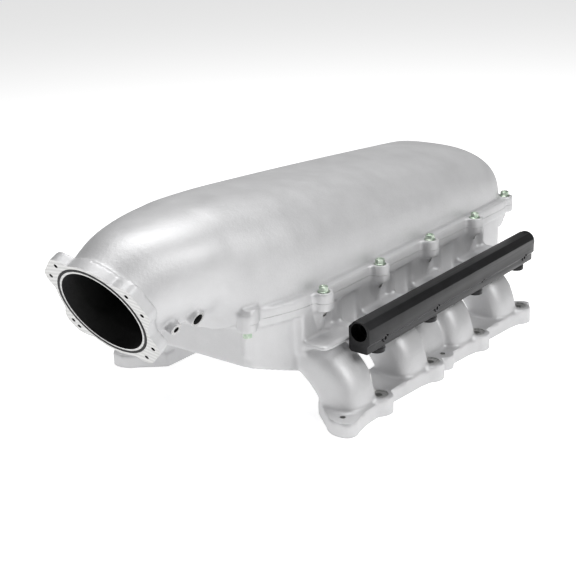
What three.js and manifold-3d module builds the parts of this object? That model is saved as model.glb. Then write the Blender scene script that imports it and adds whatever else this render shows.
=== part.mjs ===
// Front-feed intake manifold for a V8 engine: a hollow two-piece cast plenum, eight short
// runners down to two head flanges, and an extruded fuel rail beside each bank.
// Millimetres. +X is one bank, -Y is the throttle end, +Z is up.
import * as THREE from 'three';
import { mergeVertices } from 'three/addons/utils/BufferGeometryUtils.js';
import Module from 'manifold-3d';

const wasm = await Module();
wasm.setup();

// ---------------------------------------------------------------- driving sizes
const GAP = 0.3; // clearance between pieces that touch
const CURVE = 10; // straight segments in a full round

// cylinders and head flanges
const BORE_SPACING = 111.76; // distance between neighbouring cylinders
const CYLINDERS = 4; // cylinders in each bank
const HEAD_BOLT_X = 173.5; // head bolt row, from the centre plane
const HEAD_BOLT_Y = 0; // first head bolt
const HEAD_BOLT_HOLE = 8.6; // diameter
const HEAD_BOSS_RADIUS = 17;
const HEAD_BOSS_TOP_Z = 15;
const HEAD_FACE_Z = -5; // machined face that meets the head
const FLANGE_TOP_Z = 12;
const FLANGE_INNER_X = 119; // valley edge of the head flange
const FLANGE_OUTER_X = 183; // outer edge between the bosses
const LUG_X = 169.5; // small tapped lugs on the head flange
const LUG_HOLE = 6.6;
const LUG_RADIUS = 14;
const LUG_FRONT_Y = -65;
const LUG_MIDDLE_Y = 147;
const LUG_REAR_Y = 355;
const SPOTFACE_RADIUS = 11; // cutter that clears each head bolt
const SPOTFACE_TOP_Z = 38; // how far its track climbs the runner

// runners and ports
const RUNNER_CENTRE_Y = -26; // runner centre, from its head bolt
const RUNNER_WIDTH = 60; // along the engine
const RUNNER_ROUND = 6; // rounding of the runner's long edges
const RUNNER_FOOT_X = 178; // outer foot of the runner on the flange
const RUNNER_INNER_X = 121; // valley side of the runner at the flange
const RUNNER_TOP_Z = 86;
const RUNNER_WALL = 5.5;
const SHELF_OUTER_X = 138; // flat shelf where the runner leaves the plenum wall
const SHELF_THICKNESS = 7;
const RIB_RADIUS = 7; // upright ribs on the plenum wall
const PORT_INNER_X = 128; // port opening at the head
const PORT_OUTER_X = 166;
const PORT_WIDTH = 40; // along the engine
const PORT_ROUND = 6;
const PORT_SEAL_LAND = 1.5; // metal between the port and its seal groove
const PORT_SEAL_WIDTH = 2.6;
const PORT_SEAL_DEPTH = 2;
const WEB_THICKNESS = 7; // web that joins the two middle runners

// plenum
const PARTING_Z = 127; // joint between the two castings
const PLENUM_FRONT_Y = -128;
const PLENUM_REAR_Y = 440;
const PLENUM_FLANGE_X = 114; // half width of the joint flange
const PLENUM_CORNER = 46; // rear corner radius of the joint flange
const PLENUM_FLANGE_TOP = 11; // thickness of the upper joint flange
const PLENUM_FLANGE_BASE = 10; // thickness of the lower joint flange
const PLENUM_LEDGE = 9; // how far the joint flange stands out of the walls
const PLENUM_WALL = 5;
const PLENUM_BOLT_X = 119.7;
const PLENUM_BOLT_Y = -27.4;
const PLENUM_BOLT_SPACING = 112.2;
const PLENUM_BOSS_RADIUS = 11.5;
const PLENUM_BOLT_SHANK = 6; // diameter
const PLENUM_BOLT_LENGTH = 17;
const CORNER_BOLT_X = 88; // bolts that come up from below at the front
const CORNER_BOLT_Y = -124;
const REAR_BOLT_X = 45; // bolts across the rear edge
const SEAL_CORD = 3; // seal between the castings, in a groove of its own
const SEAL_GROOVE_DEPTH = 2.6;
const SEAL_INSET = 7; // middle of the seal groove, from the joint's edge
const CORNER_BOSS_HEIGHT = 16; // front bosses in the upper casting
const BOSS_COLUMN_HEIGHT = 22; // taper below each joint boss
const FLOOR_Z = 42; // outer face of the plenum floor
const BOW_Z = 72; // height of the floor at the front wall
const BOW_LENGTH = 90; // how far back the floor slopes
const BOLT_HEX = 10; // joint bolt heads, across the flats
const BOLT_WASHER = 14;
const BOLT_WASHER_HEIGHT = 1.8;
const BOLT_HEIGHT = 7;

// plenum roof, front to rear
const ROOF_FRONT_Z = 248;
const ROOF_REAR_Z = 214;
const BELLY_Z = 135; // height where the dome is widest
const ROOF_END = 66; // length of the rounded rear end
const ROOF_END_RISE = 0.45; // share of the height left at the rear wall
const ROOF_END_NARROW = 40; // how much the rear wall is narrower on each side

// throttle end
const THROTTLE_BORE = 105; // diameter
const THROTTLE_WALL = 5;
const THROTTLE_Y = -249; // middle of the machined face
const THROTTLE_Z = 161.3;
const THROTTLE_PITCH = THREE.MathUtils.degToRad(25);
const THROTTLE_CLOCK = THREE.MathUtils.degToRad(-12); // turn of the bolt pattern
const THROTTLE_FLANGE = 14; // thickness
const THROTTLE_FLANGE_RADIUS = 62;
const THROTTLE_BOLT_CIRCLE = 66.5; // radius to every flange hole
const THROTTLE_HOLE = 5; // diameter
const THROTTLE_HOLE_DEPTH = 13;
// pairs of holes round the flange: middle of the pair and the angle between its holes
const THROTTLE_PAIRS = [
  { middle: 34, spread: 22 },
  { middle: 146, spread: 22 },
  { middle: 221, spread: 8 },
  { middle: 326, spread: 22 },
];
const THROTTLE_LOBE = 9; // metal around each hole
const THROTTLE_SEAL_RADIUS = 56.6; // middle of the seal groove
const THROTTLE_SEAL_CORD = 2.6;
const THROTTLE_GROOVE_DEPTH = 2.2;
const THROTTLE_SEAL_PROUD = 0.4;
const THROTTLE_LOBE_ROOT = 0.16; // radians from a lobe's side to where it meets the ring

// tapped ports on the lower side of the snout
const PORT_TILT = THREE.MathUtils.degToRad(24);
const PORT_LENGTH = 12;
const PORT_LARGE = { x: 55, y: -176, z: 148, hole: 6.5, boss: 9.5 };
const PORT_SMALL = { x: 49, y: -203, z: 144, hole: 3.5, boss: 7.5 };

// fuel rail
const RAIL_X = 162; // middle of the fuel passage
const RAIL_Z = 96;
const RAIL_FRONT_Y = -21;
const RAIL_FRONT_END = 35; // rail beyond the first injector
const RAIL_REAR_END = 24; // rail beyond the last injector
const RAIL_BORE = 18; // diameter of the fuel passage
const RAIL_PORT = 22; // diameter of the threaded end
const RAIL_PORT_DEPTH = 16;
const RAIL_HALF_WIDTH = 14;
const RAIL_TOP = 12; // above the passage
const RAIL_SHOULDER = 14; // below the passage, to the foot
const RAIL_FOOT = 25; // below the passage, to the underside
const RAIL_FOOT_STEP = 3; // how far the foot is set back
const RAIL_CHAMFER = 7;
const CUP_RADIUS = 10;
const CUP_HEIGHT = 9;
const CUP_BORE = 13.6; // diameter, for the injector's seal
const CUP_NECK = 3; // how far a cup enters the rail
const CUP_ROOF = 2; // metal above the cup bore
const CUP_SHOULDER = 2; // step between the cup and its neck
const STANDS = [0, 1, 3]; // cylinders beside which the rail is screwed down
const STAND_RADIUS = 8; // cast posts that hold the rail
const RAIL_SCREW_Z = 80.3;
const RAIL_SCREW_SHANK = 5;
const RAIL_SCREW_GRIP = 13; // thread inside the post
const RAIL_SCREW_HEAD = 8.5;
const RAIL_SCREW_HEIGHT = 5;
const RAIL_SCREW_SOCKET = 5;
const RAIL_SCREW_SINK = 7;
const RAIL_PLUG_COLLAR = 26;

// ---------------------------------------------------------------- materials
const finish = (color, roughness, metalness) => (
  new THREE.MeshStandardMaterial({ color, roughness, metalness })
);
const CAST = () => finish('#c9cacb', 0.55, 0.9);
const ANODISED = () => finish('#3c3c3a', 0.4, 0.6);
const ZINC = () => finish('#a9b3a4', 0.35, 0.9);
const RUBBER = () => finish('#1b1b1c', 0.8, 0);

// ---------------------------------------------------------------- solid helpers
function toSolid(geometry) {
  const plain = geometry.index ? geometry.toNonIndexed() : geometry;
  plain.deleteAttribute('normal');
  plain.deleteAttribute('uv');
  const merged = mergeVertices(plain, 1e-3);
  return new wasm.Manifold(new wasm.Mesh({
    numProp: 3,
    vertProperties: new Float32Array(merged.attributes.position.array),
    triVerts: new Uint32Array(merged.index.array),
  }));
}

function toGeometry(solid) {
  const data = solid.getMesh();
  const geometry = new THREE.BufferGeometry();
  geometry.setAttribute('position', new THREE.BufferAttribute(data.vertProperties, 3));
  geometry.setIndex(new THREE.BufferAttribute(data.triVerts, 1));
  geometry.computeVertexNormals();
  return geometry;
}

function placed(geometry, matrix) {
  return toSolid(geometry.applyMatrix4(matrix));
}

function move(x, y, z) {
  return new THREE.Matrix4().makeTranslation(x, y, z);
}

function box(x0, x1, y0, y1, z0, z1) {
  const geometry = new THREE.BoxGeometry(x1 - x0, y1 - y0, z1 - z0);
  return placed(geometry, move((x0 + x1) / 2, (y0 + y1) / 2, (z0 + z1) / 2));
}

// round bar from one point to another
function bar(radius, from, to, segments = CURVE) {
  const axis = new THREE.Vector3().subVectors(to, from);
  const geometry = new THREE.CylinderGeometry(radius, radius, axis.length(), segments);
  const turn = new THREE.Quaternion().setFromUnitVectors(
    new THREE.Vector3(0, 1, 0),
    axis.clone().normalize(),
  );
  const middle = new THREE.Vector3().addVectors(from, to).multiplyScalar(0.5);
  return placed(geometry, new THREE.Matrix4().compose(middle, turn, new THREE.Vector3(1, 1, 1)));
}

function post(radius, x, y, z0, z1, segments = CURVE) {
  return bar(radius, new THREE.Vector3(x, y, z0), new THREE.Vector3(x, y, z1), segments);
}

// flat outline in the XY plane raised from z0 to z1
function slab(shape, z0, z1, curveSegments = 3) {
  const geometry = new THREE.ExtrudeGeometry(shape, {
    depth: z1 - z0,
    bevelEnabled: false,
    curveSegments,
  });
  return placed(geometry, move(0, 0, z0));
}

// outline in the XZ plane carried along Y, its long edges rounded
function beam(shape, y0, y1, round, curveSegments = 4) {
  const geometry = new THREE.ExtrudeGeometry(shape, {
    depth: y1 - y0 - 2 * round,
    bevelEnabled: round > 0,
    bevelThickness: round,
    bevelSize: round,
    bevelOffset: -round,
    bevelSegments: 1,
    curveSegments,
  });
  const stand = new THREE.Matrix4().makeRotationX(Math.PI / 2);
  return placed(geometry, move(0, y1 - round, 0).multiply(stand));
}

function join(solids) {
  return solids.reduce((total, solid) => total.add(solid));
}

function cut(solid, tools) {
  return solid.subtract(join(tools));
}

const mirrored = new THREE.Matrix4().makeScale(-1, 1, 1);

function mirror(solid) {
  const geometry = toGeometry(solid).toNonIndexed();
  geometry.applyMatrix4(mirrored);
  const spots = geometry.attributes.position;
  for (let i = 0; i < spots.count; i += 3) {
    const second = new THREE.Vector3().fromBufferAttribute(spots, i + 1);
    const third = new THREE.Vector3().fromBufferAttribute(spots, i + 2);
    spots.setXYZ(i + 1, third.x, third.y, third.z);
    spots.setXYZ(i + 2, second.x, second.y, second.z);
  }
  return toSolid(geometry);
}

// ---------------------------------------------------------------- shared places
const cylinderY = (i) => HEAD_BOLT_Y + i * BORE_SPACING;
const runnerY = (i) => cylinderY(i) + RUNNER_CENTRE_Y;
const sideBoltY = (i) => PLENUM_BOLT_Y + i * PLENUM_BOLT_SPACING;
const injectorY = (i) => RAIL_FRONT_Y + RAIL_FRONT_END + i * BORE_SPACING;
const RAIL_REAR_Y = injectorY(CYLINDERS - 1) + RAIL_REAR_END;
const RAIL_UNDERSIDE = RAIL_Z - RAIL_FOOT;
const RAIL_INNER_X = RAIL_X - RAIL_HALF_WIDTH;
const PLENUM_SIDE_X = PLENUM_FLANGE_X - PLENUM_LEDGE;
const REAR_CORNER_X = PLENUM_FLANGE_X - PLENUM_CORNER * 0.25;
const REAR_CORNER_Y = PLENUM_REAR_Y - PLENUM_CORNER * 0.35;

function throttlePoint(x, up, inward) {
  return new THREE.Vector3(
    x,
    THROTTLE_Y - up * Math.sin(THROTTLE_PITCH) + inward * Math.cos(THROTTLE_PITCH),
    THROTTLE_Z + up * Math.cos(THROTTLE_PITCH) + inward * Math.sin(THROTTLE_PITCH),
  );
}

// each pair of holes has a lobe of the flange to itself
const throttleLobes = THROTTLE_PAIRS.map((pair) => ({
  middle: THREE.MathUtils.degToRad(pair.middle) + THROTTLE_CLOCK,
  half: THREE.MathUtils.degToRad(pair.spread) / 2,
}));
const throttleAngles = throttleLobes.flatMap((lobe) => (
  [lobe.middle - lobe.half, lobe.middle + lobe.half]
));

const plenumBolts = [];
for (const side of [1, -1]) {
  for (let i = 0; i < CYLINDERS; i += 1) {
    plenumBolts.push({ x: side * PLENUM_BOLT_X, y: sideBoltY(i), fromBelow: false });
  }
  plenumBolts.push({ x: side * REAR_CORNER_X, y: REAR_CORNER_Y, fromBelow: false });
  plenumBolts.push({ x: side * REAR_BOLT_X, y: PLENUM_REAR_Y, fromBelow: false });
  plenumBolts.push({ x: side * CORNER_BOLT_X, y: CORNER_BOLT_Y, fromBelow: true });
}

// ---------------------------------------------------------------- plenum outlines
// joint outline, drawn in by the given distance
function plenumOutline(inset) {
  const half = PLENUM_FLANGE_X - inset;
  const front = PLENUM_FRONT_Y + inset;
  const rear = PLENUM_REAR_Y - inset;
  const corner = Math.max(PLENUM_CORNER - inset, 2);
  const frontHalf = CORNER_BOLT_X - 4 - inset * 0.5;
  const shoulderY = PLENUM_BOLT_Y - 18;
  const shape = new THREE.Shape();
  shape.moveTo(-frontHalf + 12, front);
  shape.lineTo(frontHalf - 12, front);
  shape.quadraticCurveTo(frontHalf + 6, front, frontHalf + 10, front + 16);
  shape.quadraticCurveTo(half, shoulderY - 20, half, shoulderY);
  shape.lineTo(half, rear - corner);
  shape.absarc(half - corner, rear - corner, corner, 0, Math.PI / 2, false);
  shape.absarc(-half + corner, rear - corner, corner, Math.PI / 2, Math.PI, false);
  shape.lineTo(-half, shoulderY);
  shape.quadraticCurveTo(-half, shoulderY - 20, -frontHalf - 10, front + 16);
  shape.quadraticCurveTo(-frontHalf - 6, front, -frontHalf + 12, front);
  return shape;
}

// the body carried from the throttle to the rear wall: one closed section at each station
function duct(inset) {
  const corner = PLENUM_FLANGE_X - PLENUM_LEDGE;
  const neck = THROTTLE_BORE / 2 + THROTTLE_WALL;
  const rear = PLENUM_REAR_Y - PLENUM_LEDGE;
  const roof = (t) => THREE.MathUtils.lerp(ROOF_FRONT_Z, ROOF_REAR_Z, t ** 1.25);
  const pitch = THROTTLE_PITCH;
  const stations = [
    { y: THROTTLE_Y, z: THROTTLE_Z, w: neck, up: neck, down: neck, n: 2, pitch },
    {
      y: THROTTLE_Y + 20 * Math.cos(pitch),
      z: THROTTLE_Z + 20 * Math.sin(pitch),
      w: neck + 1,
      up: neck + 1,
      down: neck,
      n: 2,
      pitch,
    },
    { y: THROTTLE_Y + 46, z: 178, w: 66, up: 63, down: 58, n: 2.1, pitch: pitch * 0.75 },
    { y: THROTTLE_Y + 78, z: 182, w: 76, up: 63, down: 56, n: 2.3, pitch: pitch * 0.3 },
    { y: PLENUM_FRONT_Y - 14, z: 176, w: 86, up: 71, down: 48, n: 2.5, pitch: 0 },
  ];
  const dome = (y, w, top, n = 2.8) => ({
    y, z: BELLY_Z, w, up: top - BELLY_Z, down: 40, n, pitch: 0,
  });
  stations.push(dome(PLENUM_FRONT_Y + PLENUM_LEDGE, corner - 14, ROOF_FRONT_Z));
  stations.push(dome(PLENUM_BOLT_Y - 45, corner - 5, roof(0.1)));
  stations.push(dome(PLENUM_BOLT_Y, corner, roof(0.2)));
  const last = rear - ROOF_END;
  for (const t of [0.4, 0.6, 0.8]) {
    stations.push(dome(THREE.MathUtils.lerp(PLENUM_BOLT_Y, last, (t - 0.2) / 0.8), corner, roof(t)));
  }
  stations.push(dome(last, corner, roof(1)));
  for (const angle of [22, 42, 60, 76, 90]) {
    const a = THREE.MathUtils.degToRad(angle);
    const height = (roof(1) - BELLY_Z) * (ROOF_END_RISE + (1 - ROOF_END_RISE) * Math.cos(a));
    const w = corner - ROOF_END_NARROW * (1 - Math.cos(a)) ** 1.6;
    stations.push(dome(last + ROOF_END * Math.sin(a), w, BELLY_Z + height));
  }
  const steps = stations.length - 1;
  const round = new THREE.Shape();
  const sides = 28;
  for (let i = 0; i < sides; i += 1) {
    const a = (i / sides) * 2 * Math.PI;
    if (i === 0) {
      round.moveTo(Math.cos(a), Math.sin(a));
    } else {
      round.lineTo(Math.cos(a), Math.sin(a));
    }
  }
  const geometry = new THREE.ExtrudeGeometry(round, { depth: 1, steps, bevelEnabled: false });
  const spots = geometry.attributes.position;
  for (let i = 0; i < spots.count; i += 1) {
    const step = Math.round(spots.getZ(i) * steps);
    const s = stations[step];
    const a = Math.atan2(spots.getY(i), spots.getX(i));
    const power = 2 / s.n;
    const across = Math.sign(Math.cos(a)) * Math.abs(Math.cos(a)) ** power;
    const high = Math.sign(Math.sin(a)) * Math.abs(Math.sin(a)) ** power;
    const rise = high * ((high > 0 ? s.up : s.down) - inset);
    const end = step === steps ? inset : 0;
    spots.setXYZ(
      i,
      across * (s.w - inset),
      s.y - rise * Math.sin(s.pitch) - end,
      s.z + rise * Math.cos(s.pitch),
    );
  }
  // the sections run along +Y, so the walls are turned to face outward
  const faces = geometry.index ? geometry.toNonIndexed() : geometry;
  const solid = toSolid(faces);
  return solid.volume() > 0 ? solid : flipped(faces);
}

function flipped(geometry) {
  const spots = geometry.attributes.position;
  for (let i = 0; i < spots.count; i += 3) {
    const second = new THREE.Vector3().fromBufferAttribute(spots, i + 1);
    const third = new THREE.Vector3().fromBufferAttribute(spots, i + 2);
    spots.setXYZ(i + 1, third.x, third.y, third.z);
    spots.setXYZ(i + 2, second.x, second.y, second.z);
  }
  return toSolid(geometry);
}

// ---------------------------------------------------------------- throttle flange
// local z points out of the machined face, local y up the face
function throttleFrame(depth = 0) {
  const across = new THREE.Vector3(1, 0, 0);
  const up = new THREE.Vector3(0, -Math.sin(THROTTLE_PITCH), Math.cos(THROTTLE_PITCH));
  const outward = new THREE.Vector3().crossVectors(across, up);
  const frame = new THREE.Matrix4().makeBasis(across, up, outward);
  return frame.setPosition(throttlePoint(0, 0, depth));
}

function throttleFlange() {
  const shape = new THREE.Shape();
  const put = (radius, angle) => [radius * Math.cos(angle), radius * Math.sin(angle)];
  const side = Math.atan2(THROTTLE_LOBE, THROTTLE_BOLT_CIRCLE);
  const tip = THROTTLE_BOLT_CIRCLE + THROTTLE_LOBE;
  const root = side + THROTTLE_LOBE_ROOT;
  const final = throttleLobes[throttleLobes.length - 1];
  let last = final.middle + final.half + root - 2 * Math.PI;
  shape.moveTo(...put(THROTTLE_FLANGE_RADIUS, last));
  for (const lobe of throttleLobes) {
    const start = lobe.middle - lobe.half;
    const end = lobe.middle + lobe.half;
    shape.absarc(0, 0, THROTTLE_FLANGE_RADIUS, last, start - root, false);
    shape.quadraticCurveTo(...put(tip, start - side), ...put(tip, start));
    shape.lineTo(...put(tip, end));
    shape.quadraticCurveTo(...put(tip, end + side), ...put(THROTTLE_FLANGE_RADIUS, end + root));
    last = end + root;
  }
  const geometry = new THREE.ExtrudeGeometry(shape, {
    depth: THROTTLE_FLANGE,
    bevelEnabled: false,
    curveSegments: 3,
  });
  return placed(geometry, throttleFrame(THROTTLE_FLANGE));
}

function throttleRing(inner, outer, from, to) {
  const profile = [
    new THREE.Vector2(inner, from),
    new THREE.Vector2(outer, from),
    new THREE.Vector2(outer, to),
    new THREE.Vector2(inner, to),
    new THREE.Vector2(inner, from),
  ];
  const ring = new THREE.LatheGeometry(profile, 32);
  const turned = throttleFrame().multiply(new THREE.Matrix4().makeRotationX(Math.PI / 2));
  return placed(ring, turned);
}

// ---------------------------------------------------------------- joint between the castings
function flangeWithBosses(z0, z1, radius) {
  const parts = [slab(plenumOutline(0), z0, z1)];
  for (const bolt of plenumBolts) {
    parts.push(post(radius, bolt.x, bolt.y, z0, z1));
  }
  return join(parts);
}

function plenumBoltHoles() {
  const radius = PLENUM_BOLT_SHANK / 2 + GAP;
  return plenumBolts.map((bolt) => {
    const seat = bolt.fromBelow ? PARTING_Z - PLENUM_FLANGE_BASE : PARTING_Z + PLENUM_FLANGE_TOP;
    const reach = bolt.fromBelow ? PLENUM_BOLT_LENGTH + 1 : -PLENUM_BOLT_LENGTH - 1;
    const outside = bolt.fromBelow ? -2 : 2;
    return post(radius, bolt.x, bolt.y, Math.min(seat + reach, seat + outside),
      Math.max(seat + reach, seat + outside), 8);
  });
}

// flat band that follows the joint, between two insets of its outline
function jointBand(outer, inner, z0, z1) {
  const band = plenumOutline(outer);
  band.holes.push(new THREE.Path(plenumOutline(inner).getPoints(3).reverse()));
  return slab(band, z0, z1);
}

// ---------------------------------------------------------------- upper casting
function plenumTop() {
  const bottom = PARTING_Z + GAP / 2;
  const below = box(-300, 300, PLENUM_FRONT_Y - PLENUM_LEDGE, 600, -100, bottom);
  const far = 400;
  const shell = duct(0).subtract(box(-far, far, PLENUM_FRONT_Y - 2, far * 2, -100, bottom));
  const outside = [
    shell,
    flangeWithBosses(bottom, PARTING_Z + PLENUM_FLANGE_TOP, PLENUM_BOSS_RADIUS),
    throttleFlange(),
  ];
  for (const port of [PORT_LARGE, PORT_SMALL]) {
    outside.push(bar(port.boss, portPoint(port, PORT_LENGTH), portPoint(port, -6)));
  }
  for (const side of [1, -1]) {
    outside.push(post(
      PLENUM_BOSS_RADIUS - 1,
      side * CORNER_BOLT_X,
      CORNER_BOLT_Y + 4,
      bottom,
      PARTING_Z + CORNER_BOSS_HEIGHT,
    ));
  }
  const body = join(outside);
  const mouth = throttleRing(0, THROTTLE_BORE / 2, -THROTTLE_FLANGE - 8, 2);
  const hollow = duct(PLENUM_WALL).add(mouth);
  const inner = slab(plenumOutline(PLENUM_LEDGE + PLENUM_WALL), bottom - 40, PARTING_Z + 14);
  const tools = [
    hollow,
    inner,
    throttleRing(
      THROTTLE_SEAL_RADIUS - THROTTLE_SEAL_CORD / 2 - GAP,
      THROTTLE_SEAL_RADIUS + THROTTLE_SEAL_CORD / 2 + GAP,
      -THROTTLE_GROOVE_DEPTH,
      2,
    ),
    ...plenumBoltHoles(),
  ];
  for (const angle of throttleAngles) {
    const x = THROTTLE_BOLT_CIRCLE * Math.cos(angle);
    const up = THROTTLE_BOLT_CIRCLE * Math.sin(angle);
    tools.push(bar(
      THROTTLE_HOLE / 2,
      throttlePoint(x, up, -2),
      throttlePoint(x, up, THROTTLE_HOLE_DEPTH),
      6,
    ));
  }
  for (const port of [PORT_LARGE, PORT_SMALL]) {
    tools.push(bar(port.hole, portPoint(port, PORT_LENGTH + 2), portPoint(port, -24), 10));
  }
  return cut(body, tools);
}

function portPoint(port, out) {
  return new THREE.Vector3(
    port.x + out * Math.cos(PORT_TILT),
    port.y,
    port.z - out * Math.sin(PORT_TILT),
  );
}

// ---------------------------------------------------------------- runners
// side outline of a runner; the passage uses the same curve, drawn in by its wall
function runnerShape() {
  const shape = new THREE.Shape();
  shape.moveTo(RUNNER_INNER_X, FLANGE_TOP_Z - 3);
  shape.lineTo(RUNNER_FOOT_X, FLANGE_TOP_Z - 3);
  shape.bezierCurveTo(
    RUNNER_FOOT_X - 1, 48,
    RAIL_INNER_X, RUNNER_TOP_Z - 9,
    PLENUM_SIDE_X + 4, RUNNER_TOP_Z,
  );
  shape.lineTo(PLENUM_SIDE_X - PLENUM_WALL, RUNNER_TOP_Z);
  shape.lineTo(PLENUM_SIDE_X - PLENUM_WALL, FLOOR_Z);
  shape.lineTo(RUNNER_INNER_X, FLANGE_TOP_Z + 4);
  return shape;
}

function passageShape() {
  const wall = RUNNER_WALL;
  const shape = new THREE.Shape();
  shape.moveTo(PORT_INNER_X, HEAD_FACE_Z - 20);
  shape.lineTo(PORT_OUTER_X, HEAD_FACE_Z - 20);
  shape.lineTo(PORT_OUTER_X, FLANGE_TOP_Z);
  shape.bezierCurveTo(
    PORT_OUTER_X, 46,
    RAIL_INNER_X - 12, RUNNER_TOP_Z - 9 - wall,
    PLENUM_SIDE_X, RUNNER_TOP_Z - wall,
  );
  shape.lineTo(PLENUM_SIDE_X - 30, RUNNER_TOP_Z - wall);
  shape.lineTo(PLENUM_SIDE_X - 30, FLOOR_Z + wall);
  shape.lineTo(PLENUM_SIDE_X - PLENUM_WALL, FLOOR_Z + wall);
  shape.lineTo(PORT_INNER_X, FLANGE_TOP_Z + 8);
  return shape;
}

function runner(i) {
  const y = runnerY(i);
  return beam(runnerShape(), y - RUNNER_WIDTH / 2, y + RUNNER_WIDTH / 2, RUNNER_ROUND, 4);
}

function passage(i) {
  const y = runnerY(i);
  return beam(passageShape(), y - PORT_WIDTH / 2, y + PORT_WIDTH / 2, 0, 4);
}

function roundedBox(x0, x1, y0, y1, radius) {
  const shape = new THREE.Shape();
  shape.moveTo(x0 + radius, y0);
  shape.absarc(x1 - radius, y0 + radius, radius, -Math.PI / 2, 0, false);
  shape.absarc(x1 - radius, y1 - radius, radius, 0, Math.PI / 2, false);
  shape.absarc(x0 + radius, y1 - radius, radius, Math.PI / 2, Math.PI, false);
  shape.absarc(x0 + radius, y0 + radius, radius, Math.PI, Math.PI * 1.5, false);
  return shape;
}

// rounded band around a port, in the face that meets the head
function portBand(i, inner, outer, z0, z1) {
  const y = runnerY(i);
  const ring = (grow) => roundedBox(
    PORT_INNER_X - grow,
    PORT_OUTER_X + grow,
    y - PORT_WIDTH / 2 - grow,
    y + PORT_WIDTH / 2 + grow,
    PORT_ROUND + grow,
  );
  const band = ring(outer);
  band.holes.push(new THREE.Path(ring(inner).getPoints(2).reverse()));
  return slab(band, z0, z1, 2);
}

// ---------------------------------------------------------------- head flange
function headFlange() {
  const shape = new THREE.Shape();
  const frontY = LUG_FRONT_Y - LUG_RADIUS;
  const rearY = LUG_REAR_Y + LUG_RADIUS - 2;
  const firstRunner = runnerY(0) - RUNNER_WIDTH / 2;
  shape.moveTo(FLANGE_INNER_X, firstRunner + 12);
  shape.lineTo(LUG_X - LUG_RADIUS - 6, frontY + 10);
  shape.quadraticCurveTo(LUG_X - 8, frontY - 4, LUG_X + 10, frontY);
  shape.quadraticCurveTo(LUG_X + 21, frontY + 3, LUG_X + 19, frontY + 15);
  shape.quadraticCurveTo(FLANGE_OUTER_X - 1, LUG_FRONT_Y + 22, FLANGE_OUTER_X, HEAD_BOLT_Y - 22);
  for (let i = 0; i < CYLINDERS; i += 1) {
    const y = cylinderY(i);
    shape.lineTo(FLANGE_OUTER_X, y - 15);
    shape.lineTo(FLANGE_OUTER_X - 1, y + HEAD_BOSS_RADIUS);
    shape.quadraticCurveTo(FLANGE_OUTER_X - 9, y + 20, FLANGE_OUTER_X - 7, y + 30);
    if (i < CYLINDERS - 1) {
      shape.lineTo(FLANGE_OUTER_X - 3, y + BORE_SPACING - 30);
    }
  }
  shape.quadraticCurveTo(LUG_X + LUG_RADIUS, rearY, LUG_X + 2, rearY);
  shape.lineTo(LUG_X - 20, rearY - 12);
  shape.lineTo(FLANGE_INNER_X, rearY - 34);
  const parts = [slab(shape, HEAD_FACE_Z, FLANGE_TOP_Z)];
  for (let i = 0; i < CYLINDERS; i += 1) {
    const y = cylinderY(i);
    parts.push(post(HEAD_BOSS_RADIUS, HEAD_BOLT_X, y, HEAD_FACE_Z, HEAD_BOSS_TOP_Z));
  }
  parts.push(post(LUG_RADIUS, LUG_X, LUG_MIDDLE_Y, HEAD_FACE_Z, FLANGE_TOP_Z));
  return join(parts);
}

// ---------------------------------------------------------------- lower casting
// wedge below the sloping front of the plenum floor
function bow(lift) {
  const shape = new THREE.Shape();
  const start = PLENUM_FRONT_Y - 40;
  const slope = (BOW_Z - FLOOR_Z) / BOW_LENGTH;
  shape.moveTo(start, FLOOR_Z - 60);
  shape.lineTo(start, BOW_Z + lift + slope * 40);
  shape.lineTo(PLENUM_FRONT_Y + BOW_LENGTH, FLOOR_Z + lift);
  shape.lineTo(PLENUM_FRONT_Y + BOW_LENGTH + 20, FLOOR_Z - 60);
  const geometry = new THREE.ExtrudeGeometry(shape, { depth: 400, bevelEnabled: false });
  const turn = new THREE.Matrix4().makeBasis(
    new THREE.Vector3(0, 1, 0),
    new THREE.Vector3(0, 0, 1),
    new THREE.Vector3(1, 0, 0),
  );
  return placed(geometry, move(-200, 0, 0).multiply(turn));
}

function bankOutside() {
  const parts = [headFlange()];
  for (let i = 0; i < CYLINDERS; i += 1) {
    const y = runnerY(i);
    parts.push(runner(i));
    const shelf = roundedBox(
      PLENUM_SIDE_X - PLENUM_WALL,
      SHELF_OUTER_X,
      y - RUNNER_WIDTH / 2 - 2,
      y + RUNNER_WIDTH / 2 + 2,
      8,
    );
    parts.push(slab(shelf, RUNNER_TOP_Z - SHELF_THICKNESS, RUNNER_TOP_Z, 2));
    const rib = injectorY(i);
    const ribTop = PARTING_Z - PLENUM_FLANGE_BASE + 2;
    parts.push(post(RIB_RADIUS, PLENUM_SIDE_X, rib, RUNNER_TOP_Z - 8, ribTop, 6));
  }
  for (const i of STANDS) {
    parts.push(bar(
      STAND_RADIUS,
      new THREE.Vector3(PLENUM_SIDE_X - 3, injectorY(i), RAIL_SCREW_Z),
      new THREE.Vector3(RAIL_INNER_X - GAP, injectorY(i), RAIL_SCREW_Z),
    ));
  }
  const webFrom = runnerY(1) + RUNNER_WIDTH / 2 - RUNNER_ROUND;
  const webTo = runnerY(2) - RUNNER_WIDTH / 2 + RUNNER_ROUND;
  const web = new THREE.Shape();
  web.moveTo(FLANGE_INNER_X + 6, FLANGE_TOP_Z - 3);
  web.lineTo(LUG_X - 9, FLANGE_TOP_Z - 3);
  web.bezierCurveTo(LUG_X - 10, 40, RAIL_INNER_X - 6, 62, PLENUM_SIDE_X, 70);
  web.lineTo(PLENUM_SIDE_X - PLENUM_WALL, 70 - WEB_THICKNESS);
  web.bezierCurveTo(
    RAIL_INNER_X - 10, 54,
    LUG_X - 20, 38,
    LUG_X - 19, FLANGE_TOP_Z + 6,
  );
  web.lineTo(FLANGE_INNER_X + 6, FLANGE_TOP_Z + 4);
  parts.push(beam(web, webFrom, webTo, 0));
  return join(parts);
}

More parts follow.
